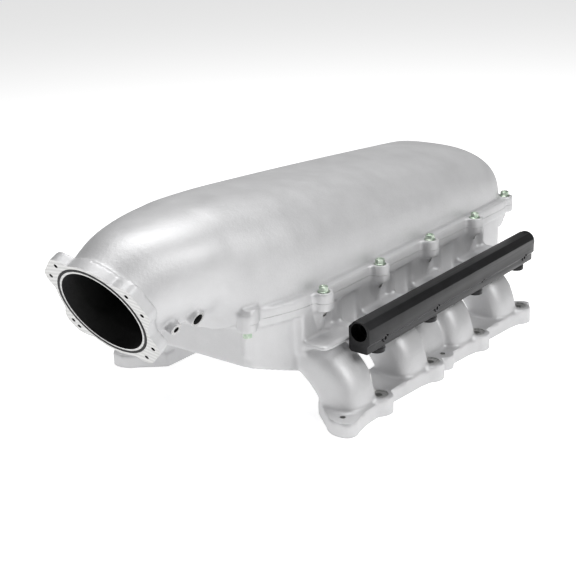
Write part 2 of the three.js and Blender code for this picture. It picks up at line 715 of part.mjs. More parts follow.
function bankCuts() {
  const tools = [];
  for (let i = 0; i < CYLINDERS; i += 1) {
    const y = cylinderY(i);
    tools.push(passage(i));
    tools.push(portBand(i, PORT_SEAL_LAND, PORT_SEAL_LAND + PORT_SEAL_WIDTH,
      HEAD_FACE_Z - 2, HEAD_FACE_Z + PORT_SEAL_DEPTH));
    tools.push(post(HEAD_BOLT_HOLE / 2, HEAD_BOLT_X, y, HEAD_FACE_Z - 2, HEAD_BOSS_TOP_Z + 2, 8));
    tools.push(post(SPOTFACE_RADIUS, HEAD_BOLT_X, y, HEAD_BOSS_TOP_Z, SPOTFACE_TOP_Z, 10));
  }
  for (const y of [LUG_FRONT_Y, LUG_MIDDLE_Y, LUG_REAR_Y]) {
    tools.push(post(LUG_HOLE / 2, LUG_X, y, HEAD_FACE_Z - 2, FLANGE_TOP_Z + 2, 6));
  }
  for (const i of STANDS) {
    tools.push(bar(
      RAIL_SCREW_SHANK / 2 + GAP,
      new THREE.Vector3(RAIL_INNER_X - RAIL_SCREW_GRIP - 1, injectorY(i), RAIL_SCREW_Z),
      new THREE.Vector3(RAIL_INNER_X + 2, injectorY(i), RAIL_SCREW_Z),
      8,
    ));
  }
  return join(tools);
}

function manifoldBase() {
  const top = PARTING_Z - GAP / 2;
  const housing = slab(plenumOutline(PLENUM_LEDGE), FLOOR_Z, top);
  const cavity = slab(plenumOutline(PLENUM_LEDGE + PLENUM_WALL), FLOOR_Z + PLENUM_WALL, top + 5);
  const bank = bankOutside();
  const cuts = bankCuts();
  const flange = flangeWithBosses(PARTING_Z - PLENUM_FLANGE_BASE, top, PLENUM_BOSS_RADIUS);
  const outside = join([
    housing.subtract(bow(0)),
    flange,
    bank,
    mirror(bank),
    ...plenumBolts.filter((bolt) => !bolt.fromBelow).map((bolt) => bossColumn(bolt)),
  ]);
  return cut(outside, [
    cavity.subtract(bow(PLENUM_WALL)),
    cuts,
    mirror(cuts),
    ...plenumBoltHoles(),
    jointBand(
      SEAL_INSET - SEAL_CORD / 2 - GAP,
      SEAL_INSET + SEAL_CORD / 2 + GAP,
      PARTING_Z - SEAL_GROOVE_DEPTH,
      top + 2,
    ),
  ]);
}

// tapered metal under each flange boss
function bossColumn(bolt) {
  const height = BOSS_COLUMN_HEIGHT;
  const z = PARTING_Z - PLENUM_FLANGE_BASE;
  const geometry = new THREE.CylinderGeometry(PLENUM_BOSS_RADIUS - 1, 4, height, 6);
  const stand = new THREE.Matrix4().makeRotationX(Math.PI / 2);
  const lean = 0.94;
  return placed(geometry, move(bolt.x * lean, bolt.y * 0.995, z - height / 2 + 0.2).multiply(stand));
}

// ---------------------------------------------------------------- fuel rail
function railShape() {
  const inner = RAIL_X - RAIL_HALF_WIDTH;
  const outer = RAIL_X + RAIL_HALF_WIDTH;
  const top = RAIL_Z + RAIL_TOP;
  const shape = new THREE.Shape();
  shape.moveTo(inner, RAIL_UNDERSIDE + 3);
  shape.lineTo(inner + 3, RAIL_UNDERSIDE);
  shape.lineTo(outer - RAIL_FOOT_STEP, RAIL_UNDERSIDE);
  shape.lineTo(outer - RAIL_FOOT_STEP, RAIL_Z - RAIL_SHOULDER - 2);
  shape.lineTo(outer, RAIL_Z - RAIL_SHOULDER + 1);
  shape.lineTo(outer, top - RAIL_CHAMFER);
  shape.lineTo(outer - RAIL_CHAMFER, top);
  shape.lineTo(inner + RAIL_CHAMFER, top);
  shape.lineTo(inner, top - RAIL_CHAMFER);
  return shape;
}

function fuelRail() {
  const body = beam(railShape(), RAIL_FRONT_Y, RAIL_REAR_Y, 0);
  const along = (radius, y0, y1) => bar(
    radius,
    new THREE.Vector3(RAIL_X, y0, RAIL_Z),
    new THREE.Vector3(RAIL_X, y1, RAIL_Z),
  );
  const tools = [
    along(RAIL_BORE / 2, RAIL_FRONT_Y - 2, RAIL_REAR_Y + 2),
    along(RAIL_PORT / 2, RAIL_FRONT_Y - 2, RAIL_FRONT_Y + RAIL_PORT_DEPTH),
    along(RAIL_PORT / 2, RAIL_REAR_Y - RAIL_PORT_DEPTH, RAIL_REAR_Y + 2),
  ];
  for (let i = 0; i < CYLINDERS; i += 1) {
    const seat = RAIL_UNDERSIDE + CUP_NECK;
    tools.push(post(CUP_RADIUS - CUP_SHOULDER + GAP, RAIL_X, injectorY(i), RAIL_UNDERSIDE - 2,
      seat + GAP));
  }
  for (const i of STANDS) {
    const y = injectorY(i);
    const face = RAIL_X + RAIL_HALF_WIDTH;
    tools.push(bar(
      RAIL_SCREW_SHANK / 2 + GAP,
      new THREE.Vector3(RAIL_INNER_X - 2, y, RAIL_SCREW_Z),
      new THREE.Vector3(face + 2, y, RAIL_SCREW_Z),
      8,
    ));
    tools.push(bar(
      RAIL_SCREW_HEAD / 2 + 0.8,
      new THREE.Vector3(face - RAIL_SCREW_SINK, y, RAIL_SCREW_Z),
      new THREE.Vector3(face + 2, y, RAIL_SCREW_Z),
    ));
  }
  return cut(body, tools);
}

function lathe(points, x, y, z, segments = CURVE) {
  const profile = points.map(([radius, height]) => new THREE.Vector2(radius, height));
  const geometry = new THREE.LatheGeometry(profile, segments);
  return placed(geometry, move(x, y, z).multiply(new THREE.Matrix4().makeRotationX(Math.PI / 2)));
}

// open cup under the rail: a shoulder seats on the rail, the neck enters it
function injectorCup(i) {
  const neck = CUP_RADIUS - CUP_SHOULDER;
  return lathe([
    [0, CUP_NECK - CUP_ROOF],
    [CUP_BORE / 2, CUP_NECK - CUP_ROOF],
    [CUP_BORE / 2, -CUP_HEIGHT],
    [CUP_RADIUS - 1, -CUP_HEIGHT],
    [CUP_RADIUS, -CUP_HEIGHT + 1.5],
    [CUP_RADIUS, -GAP],
    [neck, -GAP],
    [neck, CUP_NECK],
    [0, CUP_NECK],
  ], RAIL_X, injectorY(i), RAIL_UNDERSIDE);
}

function socketScrew(shank, length, head, height, socket, from, direction) {
  const seat = from.clone();
  const tip = from.clone().addScaledVector(direction, -length);
  const crown = from.clone().addScaledVector(direction, height);
  const floor = from.clone().addScaledVector(direction, height * 0.45);
  const above = from.clone().addScaledVector(direction, height + 2);
  const body = bar(shank / 2, tip, seat.clone().addScaledVector(direction, 0.5), 8)
    .add(bar(head / 2, seat, crown, 12));
  return body.subtract(bar(socket / 2, floor, above, 6));
}

function railScrew(i) {
  const seat = new THREE.Vector3(
    RAIL_X + RAIL_HALF_WIDTH - RAIL_SCREW_SINK + GAP,
    injectorY(i),
    RAIL_SCREW_Z,
  );
  const length = seat.x - RAIL_INNER_X + RAIL_SCREW_GRIP;
  return socketScrew(RAIL_SCREW_SHANK, length, RAIL_SCREW_HEAD, RAIL_SCREW_HEIGHT,
    RAIL_SCREW_SOCKET, seat, new THREE.Vector3(1, 0, 0));
}

function railEndPlug() {
  const shank = bar(
    RAIL_PORT / 2 - GAP,
    new THREE.Vector3(RAIL_X, RAIL_REAR_Y - RAIL_PORT_DEPTH + 1, RAIL_Z),
    new THREE.Vector3(RAIL_X, RAIL_REAR_Y + 1, RAIL_Z),
  );
  const collar = bar(
    RAIL_PLUG_COLLAR / 2,
    new THREE.Vector3(RAIL_X, RAIL_REAR_Y + GAP, RAIL_Z),
    new THREE.Vector3(RAIL_X, RAIL_REAR_Y + 3, RAIL_Z),
  );
  const socket = bar(
    5,
    new THREE.Vector3(RAIL_X, RAIL_REAR_Y - 5, RAIL_Z),
    new THREE.Vector3(RAIL_X, RAIL_REAR_Y + 6, RAIL_Z),
    6,
  );
  return shank.add(collar).subtract(socket);
}

// ---------------------------------------------------------------- joint bolts
function jointBolt(bolt) {
  const direction = bolt.fromBelow ? -1 : 1;
  const seat = bolt.fromBelow
    ? PARTING_Z - PLENUM_FLANGE_BASE - GAP
    : PARTING_Z + PLENUM_FLANGE_TOP + GAP;
  const at = (height) => new THREE.Vector3(bolt.x, bolt.y, seat + direction * height);
  return join([
    bar(PLENUM_BOLT_SHANK / 2, at(-PLENUM_BOLT_LENGTH), at(0.5), 8),
    bar(BOLT_WASHER / 2, at(0), at(BOLT_WASHER_HEIGHT), 12),
    bar(BOLT_HEX / 2 / Math.cos(Math.PI / 6), at(0.5), at(BOLT_HEIGHT), 6),
  ]);
}

// ---------------------------------------------------------------- the assembly
const assembly = new THREE.Group();

function addPiece(name, solid, material) {
  const mesh = new THREE.Mesh(toGeometry(solid), material);
  mesh.name = name;
  assembly.add(mesh);
}

addPiece('manifold_base', manifoldBase(), CAST());
addPiece('plenum_top', plenumTop(), CAST());
addPiece('plenum_seal', jointBand(
  SEAL_INSET - SEAL_CORD / 2,
  SEAL_INSET + SEAL_CORD / 2,
  PARTING_Z - SEAL_GROOVE_DEPTH + GAP,
  PARTING_Z - GAP / 2,
), RUBBER());
addPiece('throttle_seal', throttleRing(
  THROTTLE_SEAL_RADIUS - THROTTLE_SEAL_CORD / 2,
  THROTTLE_SEAL_RADIUS + THROTTLE_SEAL_CORD / 2,
  -THROTTLE_GROOVE_DEPTH + GAP,
  THROTTLE_SEAL_PROUD,
), RUBBER());
plenumBolts.forEach((bolt, i) => {
  addPiece(`plenum_bolt_${i + 1}`, jointBolt(bolt), ZINC());
});
for (const [bank, turn] of [['left', (solid) => solid], ['right', mirror]]) {
  addPiece(`fuel_rail_${bank}`, turn(fuelRail()), ANODISED());
  addPiece(`rail_end_plug_${bank}`, turn(railEndPlug()), ANODISED());
  for (let i = 0; i < CYLINDERS; i += 1) {
    const seal = portBand(i, PORT_SEAL_LAND + GAP, PORT_SEAL_LAND + PORT_SEAL_WIDTH - GAP,
      HEAD_FACE_Z, HEAD_FACE_Z + PORT_SEAL_DEPTH - GAP);
    addPiece(`port_seal_${bank}_${i + 1}`, turn(seal), RUBBER());
    addPiece(`injector_cup_${bank}_${i + 1}`, turn(injectorCup(i)), ANODISED());
  }
  STANDS.forEach((place, i) => {
    addPiece(`rail_screw_${bank}_${i + 1}`, turn(railScrew(place)), ANODISED());
  });
}

// origin below the middle of the whole part, on the faces that meet the heads
const bounds = new THREE.Box3().setFromObject(assembly);
const middle = bounds.getCenter(new THREE.Vector3());
assembly.position.set(-middle.x, -middle.y, -bounds.min.z);

const group = new THREE.Group();
group.add(assembly);

export default group;
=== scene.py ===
"""Front-feed V8 intake manifold: cast plenum and runners, extruded fuel rails, plated screws."""
import logging
import math
from dataclasses import dataclass, field
from enum import Enum

import bpy
from mathutils import Matrix, Vector


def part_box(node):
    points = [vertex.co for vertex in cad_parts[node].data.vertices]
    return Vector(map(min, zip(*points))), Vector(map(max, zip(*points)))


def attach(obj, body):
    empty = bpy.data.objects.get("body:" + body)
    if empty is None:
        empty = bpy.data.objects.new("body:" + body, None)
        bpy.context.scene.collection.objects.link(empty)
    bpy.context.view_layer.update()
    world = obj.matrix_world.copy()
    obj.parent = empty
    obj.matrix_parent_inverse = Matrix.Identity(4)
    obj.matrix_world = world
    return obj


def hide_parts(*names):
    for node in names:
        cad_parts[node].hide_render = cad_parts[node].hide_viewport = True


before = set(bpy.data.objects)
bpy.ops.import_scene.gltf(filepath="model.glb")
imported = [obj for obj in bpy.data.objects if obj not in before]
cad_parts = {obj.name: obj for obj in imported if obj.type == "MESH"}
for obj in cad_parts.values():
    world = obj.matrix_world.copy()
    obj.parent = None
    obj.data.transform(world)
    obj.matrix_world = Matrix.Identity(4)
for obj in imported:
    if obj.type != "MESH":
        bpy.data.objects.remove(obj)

LOG = logging.getLogger("intake_manifold")
BODY = "root"
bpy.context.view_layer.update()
MIRROR_X = Matrix.Scale(-1.0, 4, Vector((1.0, 0.0, 0.0)))

Point2 = tuple[float, float]
Solid = bpy.types.Object


class Plane(Enum):
    """The plane that a flat outline is drawn in, and the way it is raised."""

    PLAN = "raised along Z"
    SIDE = "raised along Y"


class Bank(Enum):
    """One side of the engine."""

    LEFT = 1
    RIGHT = -1


class Boolean(Enum):
    """How one solid meets another."""

    JOIN = "UNION"
    CUT = "DIFFERENCE"


# ------------------------------------------------------------------ shared sizes, metres
@dataclass(frozen=True)
class Layout:
    """Sizes that more than one piece takes, in metres, from the first head bolt's place."""

    bore_spacing: float = 0.11176
    cylinders: int = 4
    head_bolt_x: float = 0.1735
    head_face_z: float = -0.005
    flange_top_z: float = 0.012
    head_boss_top_z: float = 0.015
    runner_offset_y: float = -0.026
    parting_z: float = 0.127
    joint_gap: float = 0.00015
    plenum_front_y: float = -0.128
    plenum_rear_y: float = 0.440
    plenum_half_width: float = 0.114
    plenum_corner: float = 0.046
    plenum_ledge: float = 0.009
    plenum_wall: float = 0.005
    joint_top: float = 0.011
    joint_base: float = 0.010
    bolt_hole_radius: float = 0.0033
    # how far rough shapes run past a face that is machined later
    machining_spare: float = 0.006
    boss_radius: float = 0.0115
    bolt_x: float = 0.1197
    bolt_y: float = -0.0274
    bolt_spacing: float = 0.1122
    corner_bolt: Point2 = (0.088, -0.124)
    rear_corner_bolt: Point2 = (0.1025, 0.4239)
    rear_bolt: Point2 = (0.045, 0.440)
    floor_z: float = 0.042
    rail_x: float = 0.162
    rail_z: float = 0.096
    rail_front_y: float = -0.021
    rail_front_end: float = 0.035
    rail_rear_end: float = 0.024
    rail_underside: float = 0.071
    rail_half_width: float = 0.014
    rail_screw_z: float = 0.0803
    stands: tuple[int, ...] = (0, 1, 3)

    @property
    def side_x(self) -> float:
        """Outer face of the plenum's long walls."""
        return self.plenum_half_width - self.plenum_ledge

    def cylinder_y(self, index: int) -> float:
        """Place of one head bolt along the engine."""
        return index * self.bore_spacing

    def runner_y(self, index: int) -> float:
        """Place of one runner's middle along the engine."""
        return self.cylinder_y(index) + self.runner_offset_y

    def injector_y(self, index: int) -> float:
        """Place of one injector cup along the engine."""
        return self.rail_front_y + self.rail_front_end + index * self.bore_spacing

    def joint_bolts(self) -> list[tuple[float, float, bool]]:
        """List the bolts of the plenum joint.

        Returns:
            X, Y and whether the bolt comes up from below, in the CAD nodes' order.
        """
        bolts: list[tuple[float, float, bool]] = []
        for side in (1, -1):
            for index in range(self.cylinders):
                bolts.append((side * self.bolt_x, self.bolt_y + index * self.bolt_spacing, False))
            bolts.append((side * self.rear_corner_bolt[0], self.rear_corner_bolt[1], False))
            bolts.append((side * self.rear_bolt[0], self.rear_bolt[1], False))
            bolts.append((side * self.corner_bolt[0], self.corner_bolt[1], True))
        return bolts


LAYOUT = Layout()


def datum() -> Vector:
    """Find where the first head bolt's place lies in the CAD frame.

    Returns:
        The offset from the sizes above to the CAD frame.
    """
    low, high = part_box("port_seal_left_1")
    middle_y = (low[1] + high[1]) / 2
    return Vector((0.0, middle_y - LAYOUT.runner_y(0), low[2] - LAYOUT.head_face_z))


DATUM = datum()


# ------------------------------------------------------------------ modelling helpers
def arc(centre: Point2, radius: float, start: float, end: float, steps: int) -> list[Point2]:
    """Give points on an arc.

    Args:
        centre: Middle of the arc.
        radius: Its radius.
        start: First angle in degrees.
        end: Last angle in degrees.
        steps: Number of segments.

    Returns:
        The points, both ends included.
    """
    points = []
    for step in range(steps + 1):
        angle = math.radians(start + (end - start) * step / steps)
        points.append((centre[0] + radius * math.cos(angle), centre[1] + radius * math.sin(angle)))
    return points


def curve(control: list[Point2], steps: int) -> list[Point2]:
    """Give points on a Bezier curve of any degree.

    Args:
        control: Its control points.
        steps: Number of segments.

    Returns:
        The points, both ends included.
    """
    points = []
    for step in range(steps + 1):
        share = step / steps
        level = [Vector(point) for point in control]
        while len(level) > 1:
            level = [a.lerp(b, share) for a, b in zip(level, level[1:])]
        points.append((level[0].x, level[0].y))
    return points


def activate(solid: Solid) -> None:
    """Make one object the only selected and active one."""
    bpy.ops.object.select_all(action="DESELECT")
    solid.select_set(True)
    bpy.context.view_layer.objects.active = solid


def apply_modifier(solid: Solid, kind: str, **settings: object) -> None:
    """Add one modifier and apply it.

    Args:
        solid: The object it goes on.
        kind: The modifier's type.
        settings: Its settings.
    """
    activate(solid)
    modifier = solid.modifiers.new(kind.lower(), kind)
    for key, value in settings.items():
        setattr(modifier, key, value)
    bpy.ops.object.modifier_apply(modifier=modifier.name)


def new_solid(name: str, points: list[Vector], faces: list[tuple[int, ...]]) -> Solid:
    """Make an object from points and faces.

    Args:
        name: The object's name.
        points: Its corners.
        faces: The corners of each face.

    Returns:
        The new object, faces outward.
    """
    mesh = bpy.data.meshes.new(name)
    mesh.from_pydata([tuple(point) for point in points], [], faces)
    solid = bpy.data.objects.new(name, mesh)
    bpy.context.scene.collection.objects.link(solid)
    face_outward(solid)
    return solid


def face_outward(solid: Solid) -> None:
    """Merge doubles and turn every face outward."""
    activate(solid)
    bpy.ops.object.mode_set(mode="EDIT")
    bpy.ops.mesh.select_all(action="SELECT")
    bpy.ops.mesh.remove_doubles(threshold=1e-6)
    bpy.ops.mesh.normals_make_consistent(inside=False)
    bpy.ops.object.mode_set(mode="OBJECT")


def raise_outline(name: str, outline: list[Point2], low: float, high: float, plane: Plane) -> Solid:
    """Raise a flat outline into a closed block with an extrude.

    Args:
        name: The object's name.
        outline: Its corners, in order.
        low: Where the block starts.
        high: Where it ends.
        plane: The plane of the outline.

    Returns:
        The block.
    """
    if plane is Plane.PLAN:
        points = [Vector((x, y, low)) for x, y in outline]
        travel = (0.0, 0.0, high - low)
    else:
        points = [Vector((x, low, z)) for x, z in outline]
        travel = (0.0, high - low, 0.0)
    block = new_solid(name, points, [tuple(range(len(points)))])
    activate(block)
    bpy.ops.object.mode_set(mode="EDIT")
    bpy.ops.mesh.select_all(action="SELECT")
    bpy.ops.mesh.extrude_region_move(TRANSFORM_OT_translate={"value": travel})
    bpy.ops.object.mode_set(mode="OBJECT")
    face_outward(block)
    return block


def rod(name: str, radius: float, start: Vector, end: Vector, sides: int = 32) -> Solid:
    """Make a round bar between two points.

    Args:
        name: The object's name.
        radius: Its radius.
        start: One end.
        end: The other end.
        sides: Number of sides.

    Returns:
        The bar, with its place in its mesh.
    """
    axis = end - start
    turn = axis.to_track_quat("Z", "Y").to_euler()
    bpy.ops.object.select_all(action="DESELECT")
    bpy.ops.mesh.primitive_cylinder_add(
        vertices=sides, radius=radius, depth=axis.length, location=(start + end) / 2, rotation=turn
    )
    bar = bpy.context.view_layer.objects.active
    bar.name = name
    bpy.ops.object.transform_apply(location=True, rotation=True, scale=True)
    return bar


def post(name: str, radius: float, x: float, y: float, low: float, high: float,
         sides: int = 32) -> Solid:
    """Make an upright round bar.

    Args:
        name: The object's name.
        radius: Its radius.
        x: Its place across.
        y: Its place along.
        low: Its foot.
        high: Its top.
        sides: Number of sides.

    Returns:
        The bar.
    """
    return rod(name, radius, Vector((x, y, low)), Vector((x, y, high)), sides)


def loft(name: str, rings: list[list[Vector]]) -> Solid:
    """Skin a row of rings that all have the same number of points, and close both ends.

    Args:
        name: The object's name.
        rings: The rings in order.

    Returns:
        The closed body.
    """
    count = len(rings[0])
    points = [point for ring in rings for point in ring]
    faces: list[tuple[int, ...]] = []
    for row in range(len(rings) - 1):
        for column in range(count):
            following = (column + 1) % count
            faces.append((
                row * count + column,
                row * count + following,
                (row + 1) * count + following,
                (row + 1) * count + column,
            ))
    faces.append(tuple(range(count)))
    last = (len(rings) - 1) * count
    faces.append(tuple(range(last, last + count)))
    return new_solid(name, points, faces)


def gather(name: str, solids: list[Solid]) -> Solid:
    """Put several objects into one without joining their surfaces.

    Args:
        name: Name of the result.
        solids: The objects.

    Returns:
        The one object.
    """
    activate(solids[0])
    for solid in solids[1:]:
        solid.select_set(True)
    if len(solids) > 1:
        bpy.ops.object.join()
    solids[0].name = name
    return solids[0]


def meet(solid: Solid, tool: Solid, way: Boolean) -> None:
    """Join a tool to a solid or cut it away, and remove the tool.

    Args:
        solid: The solid that changes.
        tool: The other solid. Its material goes onto the faces that it leaves.
        way: Join or cut.
    """
    activate(solid)
    modifier = solid.modifiers.new("meet", "BOOLEAN")
    modifier.operation = way.value
    modifier.object = tool
    modifier.solver = "MANIFOLD"
    modifier.material_mode = "TRANSFER"
    bpy.ops.object.modifier_apply(modifier=modifier.name)
    bpy.data.objects.remove(tool, do_unlink=True)


def copied(solid: Solid, name: str) -> Solid:
    """Copy an object with its own mesh."""
    copy = solid.copy()
    copy.data = solid.data.copy()
    copy.name = name
    bpy.context.scene.collection.objects.link(copy)
    return copy


def mirrored(solid: Solid, name: str) -> Solid:
    """Copy an object to the other bank, with its own mesh and faces outward.

    Args:
        solid: The object to copy.
        name: Name of the copy.

    Returns:
        The copy.
    """
    copy = copied(solid, name)
    copy.data.transform(MIRROR_X)
    copy.data.flip_normals()
    return copy


def duplicate(solid: Solid, name: str, shift: Vector) -> Solid:
    """Copy an object with its own mesh and move the copy.

    Args:
        solid: The object to copy.
        name: Name of the copy.
        shift: How far it moves.

    Returns:
        The copy.
    """
    copy = copied(solid, name)
    copy.data.transform(Matrix.Translation(shift))
    return copy


def cast_skin(solid: Solid, grain: float, passes: int) -> None:
    """Melt overlapping shapes into one casting with soft fillets.

    Args:
        solid: The overlapping shapes, in one object.
        grain: Edge length of the new skin.
        passes: How often the skin is relaxed.
    """
    apply_modifier(solid, "REMESH", mode="VOXEL", voxel_size=grain, adaptivity=0.0)
    apply_modifier(solid, "SMOOTH", factor=0.5, iterations=passes)


def finish_piece(solid: Solid, nodes: list[str], angle: float) -> Solid:
    """Move a piece to the CAD frame, shade it and tell the frame what it stands for.

    Args:
        solid: The piece.
        nodes: CAD nodes that it replaces.
        angle: Edges sharper than this many degrees stay crisp.

    Returns:
        The same piece.
    """
    solid.data.transform(Matrix.Translation(DATUM))
    activate(solid)
    bpy.ops.object.shade_smooth_by_angle(angle=math.radians(angle))
    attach(solid, BODY)
    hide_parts(*nodes)
    LOG.info("%s: %d faces, stands for %s", solid.name, len(solid.data.polygons), ", ".join(nodes))
    return solid


# ------------------------------------------------------------------ materials
def srgb(code: str, alpha: float = 1.0) -> tuple[float, float, float, float]:
    """Turn an sRGB hex colour into linear values.

    Args:
        code: Six hex digits.
        alpha: The fourth value.

    Returns:
        Linear red, green, blue and alpha.
    """
    values = [int(code[place:place + 2], 16) / 255 for place in (0, 2, 4)]
    linear = [v / 12.92 if v <= 0.04045 else ((v + 0.055) / 1.055) ** 2.4 for v in values]
    return (linear[0], linear[1], linear[2], alpha)


def add_node(tree: bpy.types.NodeTree, kind: str, settings: dict[str, object],
             links: dict[str, bpy.types.NodeSocket]) -> bpy.types.Node:
    """Add one node with its settings and links.

    Args:
        tree: The material's node tree.
        kind: The node's type.
        settings: Values by input name, or by attribute name.
        links: Output sockets by input name.

    Returns:
        The node.
    """
    node = tree.nodes.new(kind)
    for key, value in settings.items():
        if key.isdigit():
            node.inputs[int(key)].default_value = value
        elif key in node.inputs:
            node.inputs[key].default_value = value
        else:
            setattr(node, key, value)
    for key, socket in links.items():
        tree.links.new(socket, node.inputs[int(key)] if key.isdigit() else node.inputs[key])
    return node


def ramp(tree: bpy.types.NodeTree, source: bpy.types.NodeSocket,
         stops: list[tuple[float, tuple[float, float, float, float]]]) -> bpy.types.NodeSocket:
    """Map a grey value through colour stops.

    Args:
        tree: The material's node tree.
        source: The grey value.
        stops: Place and colour of each stop.

    Returns:
        The colour output.
    """
    node = add_node(tree, "ShaderNodeValToRGB", {}, {"Fac": source})
    elements = node.color_ramp.elements
    while len(elements) < len(stops):
        elements.new(0.5)
    for element, (place, colour) in zip(elements, stops):
        element.position = place
        element.color = colour
    return node.outputs["Color"]


def grey(value: float) -> tuple[float, float, float, float]:
    """Give a grey as a colour."""
    return (value, value, value, 1.0)


def start_finish(name: str) -> tuple[bpy.types.Material, bpy.types.NodeTree, bpy.types.Node,
                                     bpy.types.NodeSocket]:
    """Start a finish.

    Args:
        name: The material's name.

    Returns:
        The material, its node tree, its shader and its Object coordinates.
    """
    material = bpy.data.materials.new(name)
    material.use_nodes = True
    tree = material.node_tree
    place = add_node(tree, "ShaderNodeTexCoord", {}, {}).outputs["Object"]
    return material, tree, tree.nodes["Principled BSDF"], place


def relief(tree: bpy.types.NodeTree, shader: bpy.types.Node, height: bpy.types.NodeSocket,
           strength: float, depth: float) -> None:
    """Drive a shader's normal from a height.

    Args:
        tree: The material's node tree.
        shader: The shader.
        height: The height.
        strength: How much of it shows.
        depth: Its depth in metres.
    """
    bump = add_node(tree, "ShaderNodeBump", {"Strength": strength, "Distance": depth},
                    {"Height": height})
    tree.links.new(bump.outputs["Normal"], shader.inputs["Normal"])


@dataclass(frozen=True)
class CastAluminium:
    """Sand-cast aluminium, bead blasted: fine even grain that scatters light softly."""

    name: str = "cast_aluminium_blasted"
    light: str = "D2D2D3"
    dark: str = "CACACB"
    metallic: float = 0.45
    roughness: float = 0.5
    grain_mm: float = 1.5
    patch_mm: float = 30.0
    relief_mm: float = 0.2

    def make(self) -> bpy.types.Material:
        """Build the material.

        Returns:
            The material.
        """
        material, tree, shader, place = start_finish(self.name)
        shader.inputs["Metallic"].default_value = self.metallic
        patches = add_node(tree, "ShaderNodeTexNoise",
                           {"Scale": 1000 / self.patch_mm, "Detail": 4.0, "Roughness": 0.55},
                           {"Vector": place})
        grain = add_node(tree, "ShaderNodeTexNoise",
                         {"Scale": 1000 / self.grain_mm, "Detail": 3.0, "Roughness": 0.6},
                         {"Vector": place})
        pits = add_node(tree, "ShaderNodeTexVoronoi",
                        {"Scale": 1000 / (self.grain_mm * 2.6), "Randomness": 1.0},
                        {"Vector": place})
        mixed = add_node(tree, "ShaderNodeMath", {"operation": "MULTIPLY_ADD", "1": 0.35},
                         {"0": grain.outputs["Fac"], "2": patches.outputs["Fac"]})
        colour = ramp(tree, mixed.outputs["Value"],
                      [(0.45, srgb(self.dark)), (0.9, srgb(self.light))])
        tree.links.new(colour, shader.inputs["Base Color"])
        rough = ramp(tree, patches.outputs["Fac"],
                     [(0.3, grey(self.roughness - 0.02)), (0.7, grey(self.roughness + 0.03))])
        tree.links.new(rough, shader.inputs["Roughness"])
        height = add_node(tree, "ShaderNodeMath", {"operation": "MULTIPLY_ADD", "1": 0.6},
                          {"0": pits.outputs["Distance"], "2": grain.outputs["Fac"]})
        relief(tree, shader, height.outputs["Value"], 0.8, self.relief_mm / 1000)
        return material


@dataclass(frozen=True)
class MachinedAluminium:
    """Face-milled aluminium: brighter than the casting, with fine curved cutter marks."""

    name: str = "machined_aluminium"
    light: str = "CFCFCE"
    dark: str = "BDBDBC"
    roughness: float = 0.34
    feed_mm: float = 2.2

    def make(self) -> bpy.types.Material:
        """Build the material.

        Returns:
            The material.
        """
        material, tree, shader, place = start_finish(self.name)
        shader.inputs["Metallic"].default_value = 0.8
        marks = add_node(tree, "ShaderNodeTexWave",
                         {"wave_type": "RINGS", "rings_direction": "SPHERICAL",
                          "Scale": 1000 / self.feed_mm / 6.28, "Distortion": 0.6, "Detail": 2.0},
                         {"Vector": place})
        colour = ramp(tree, marks.outputs["Fac"], [(0.2, srgb(self.dark)), (0.8, srgb(self.light))])
        tree.links.new(colour, shader.inputs["Base Color"])
        rough = ramp(tree, marks.outputs["Fac"],
                     [(0.2, grey(self.roughness)), (0.8, grey(self.roughness + 0.08))])
        tree.links.new(rough, shader.inputs["Roughness"])
        relief(tree, shader, marks.outputs["Fac"], 0.12, 0.00004)
        return material


@dataclass(frozen=True)
class Anodised:
    """Black anodised aluminium: satin, with faint lines from the extrusion or the lathe."""

    name: str
    base: str
    edge: str
    roughness: float
    line_mm: float
    along_y: bool

    def make(self) -> bpy.types.Material:
        """Build the material.

        Returns:
            The material.
        """
        material, tree, shader, place = start_finish(self.name)
        shader.inputs["Metallic"].default_value = 0.55
        stretch = (1.0, 0.01, 1.0) if self.along_y else (1.0, 1.0, 1.0)
        mapped = add_node(tree, "ShaderNodeMapping", {"Scale": stretch}, {"Vector": place})
        lines = add_node(tree, "ShaderNodeTexNoise",
                         {"Scale": 1000 / self.line_mm, "Detail": 3.0},
                         {"Vector": mapped.outputs["Vector"]})
        haze = add_node(tree, "ShaderNodeTexNoise", {"Scale": 40.0, "Detail": 3.0},
                        {"Vector": place})
        colour = ramp(tree, haze.outputs["Fac"], [(0.35, srgb(self.base)), (0.75, srgb(self.edge))])
        tree.links.new(colour, shader.inputs["Base Color"])
        rough = ramp(tree, lines.outputs["Fac"],
                     [(0.3, grey(self.roughness - 0.04)), (0.7, grey(self.roughness + 0.06))])
        tree.links.new(rough, shader.inputs["Roughness"])
        relief(tree, shader, lines.outputs["Fac"], 0.15, 0.00005)
        return material


@dataclass(frozen=True)
class ZincPlate:
    """Zinc-plated steel: pale, slightly green, a little cloudy from the passivation."""

    name: str = "zinc_plated_steel"
    pale: str = "C9D2C6"
    green: str = "9DB09C"
    roughness: float = 0.34
    cloud_mm: float = 4.0

    def make(self) -> bpy.types.Material:
        """Build the material.

        Returns:
            The material.
        """
        material, tree, shader, place = start_finish(self.name)
        shader.inputs["Metallic"].default_value = 0.9
        cloud = add_node(tree, "ShaderNodeTexNoise",
                         {"Scale": 1000 / self.cloud_mm, "Detail": 4.0}, {"Vector": place})
        colour = ramp(tree, cloud.outputs["Fac"], [(0.35, srgb(self.green)), (0.65, srgb(self.pale))])
        tree.links.new(colour, shader.inputs["Base Color"])
        rough = ramp(tree, cloud.outputs["Fac"],
                     [(0.3, grey(self.roughness)), (0.7, grey(self.roughness + 0.12))])
        tree.links.new(rough, shader.inputs["Roughness"])
        relief(tree, shader, cloud.outputs["Fac"], 0.1, 0.00005)
        return material


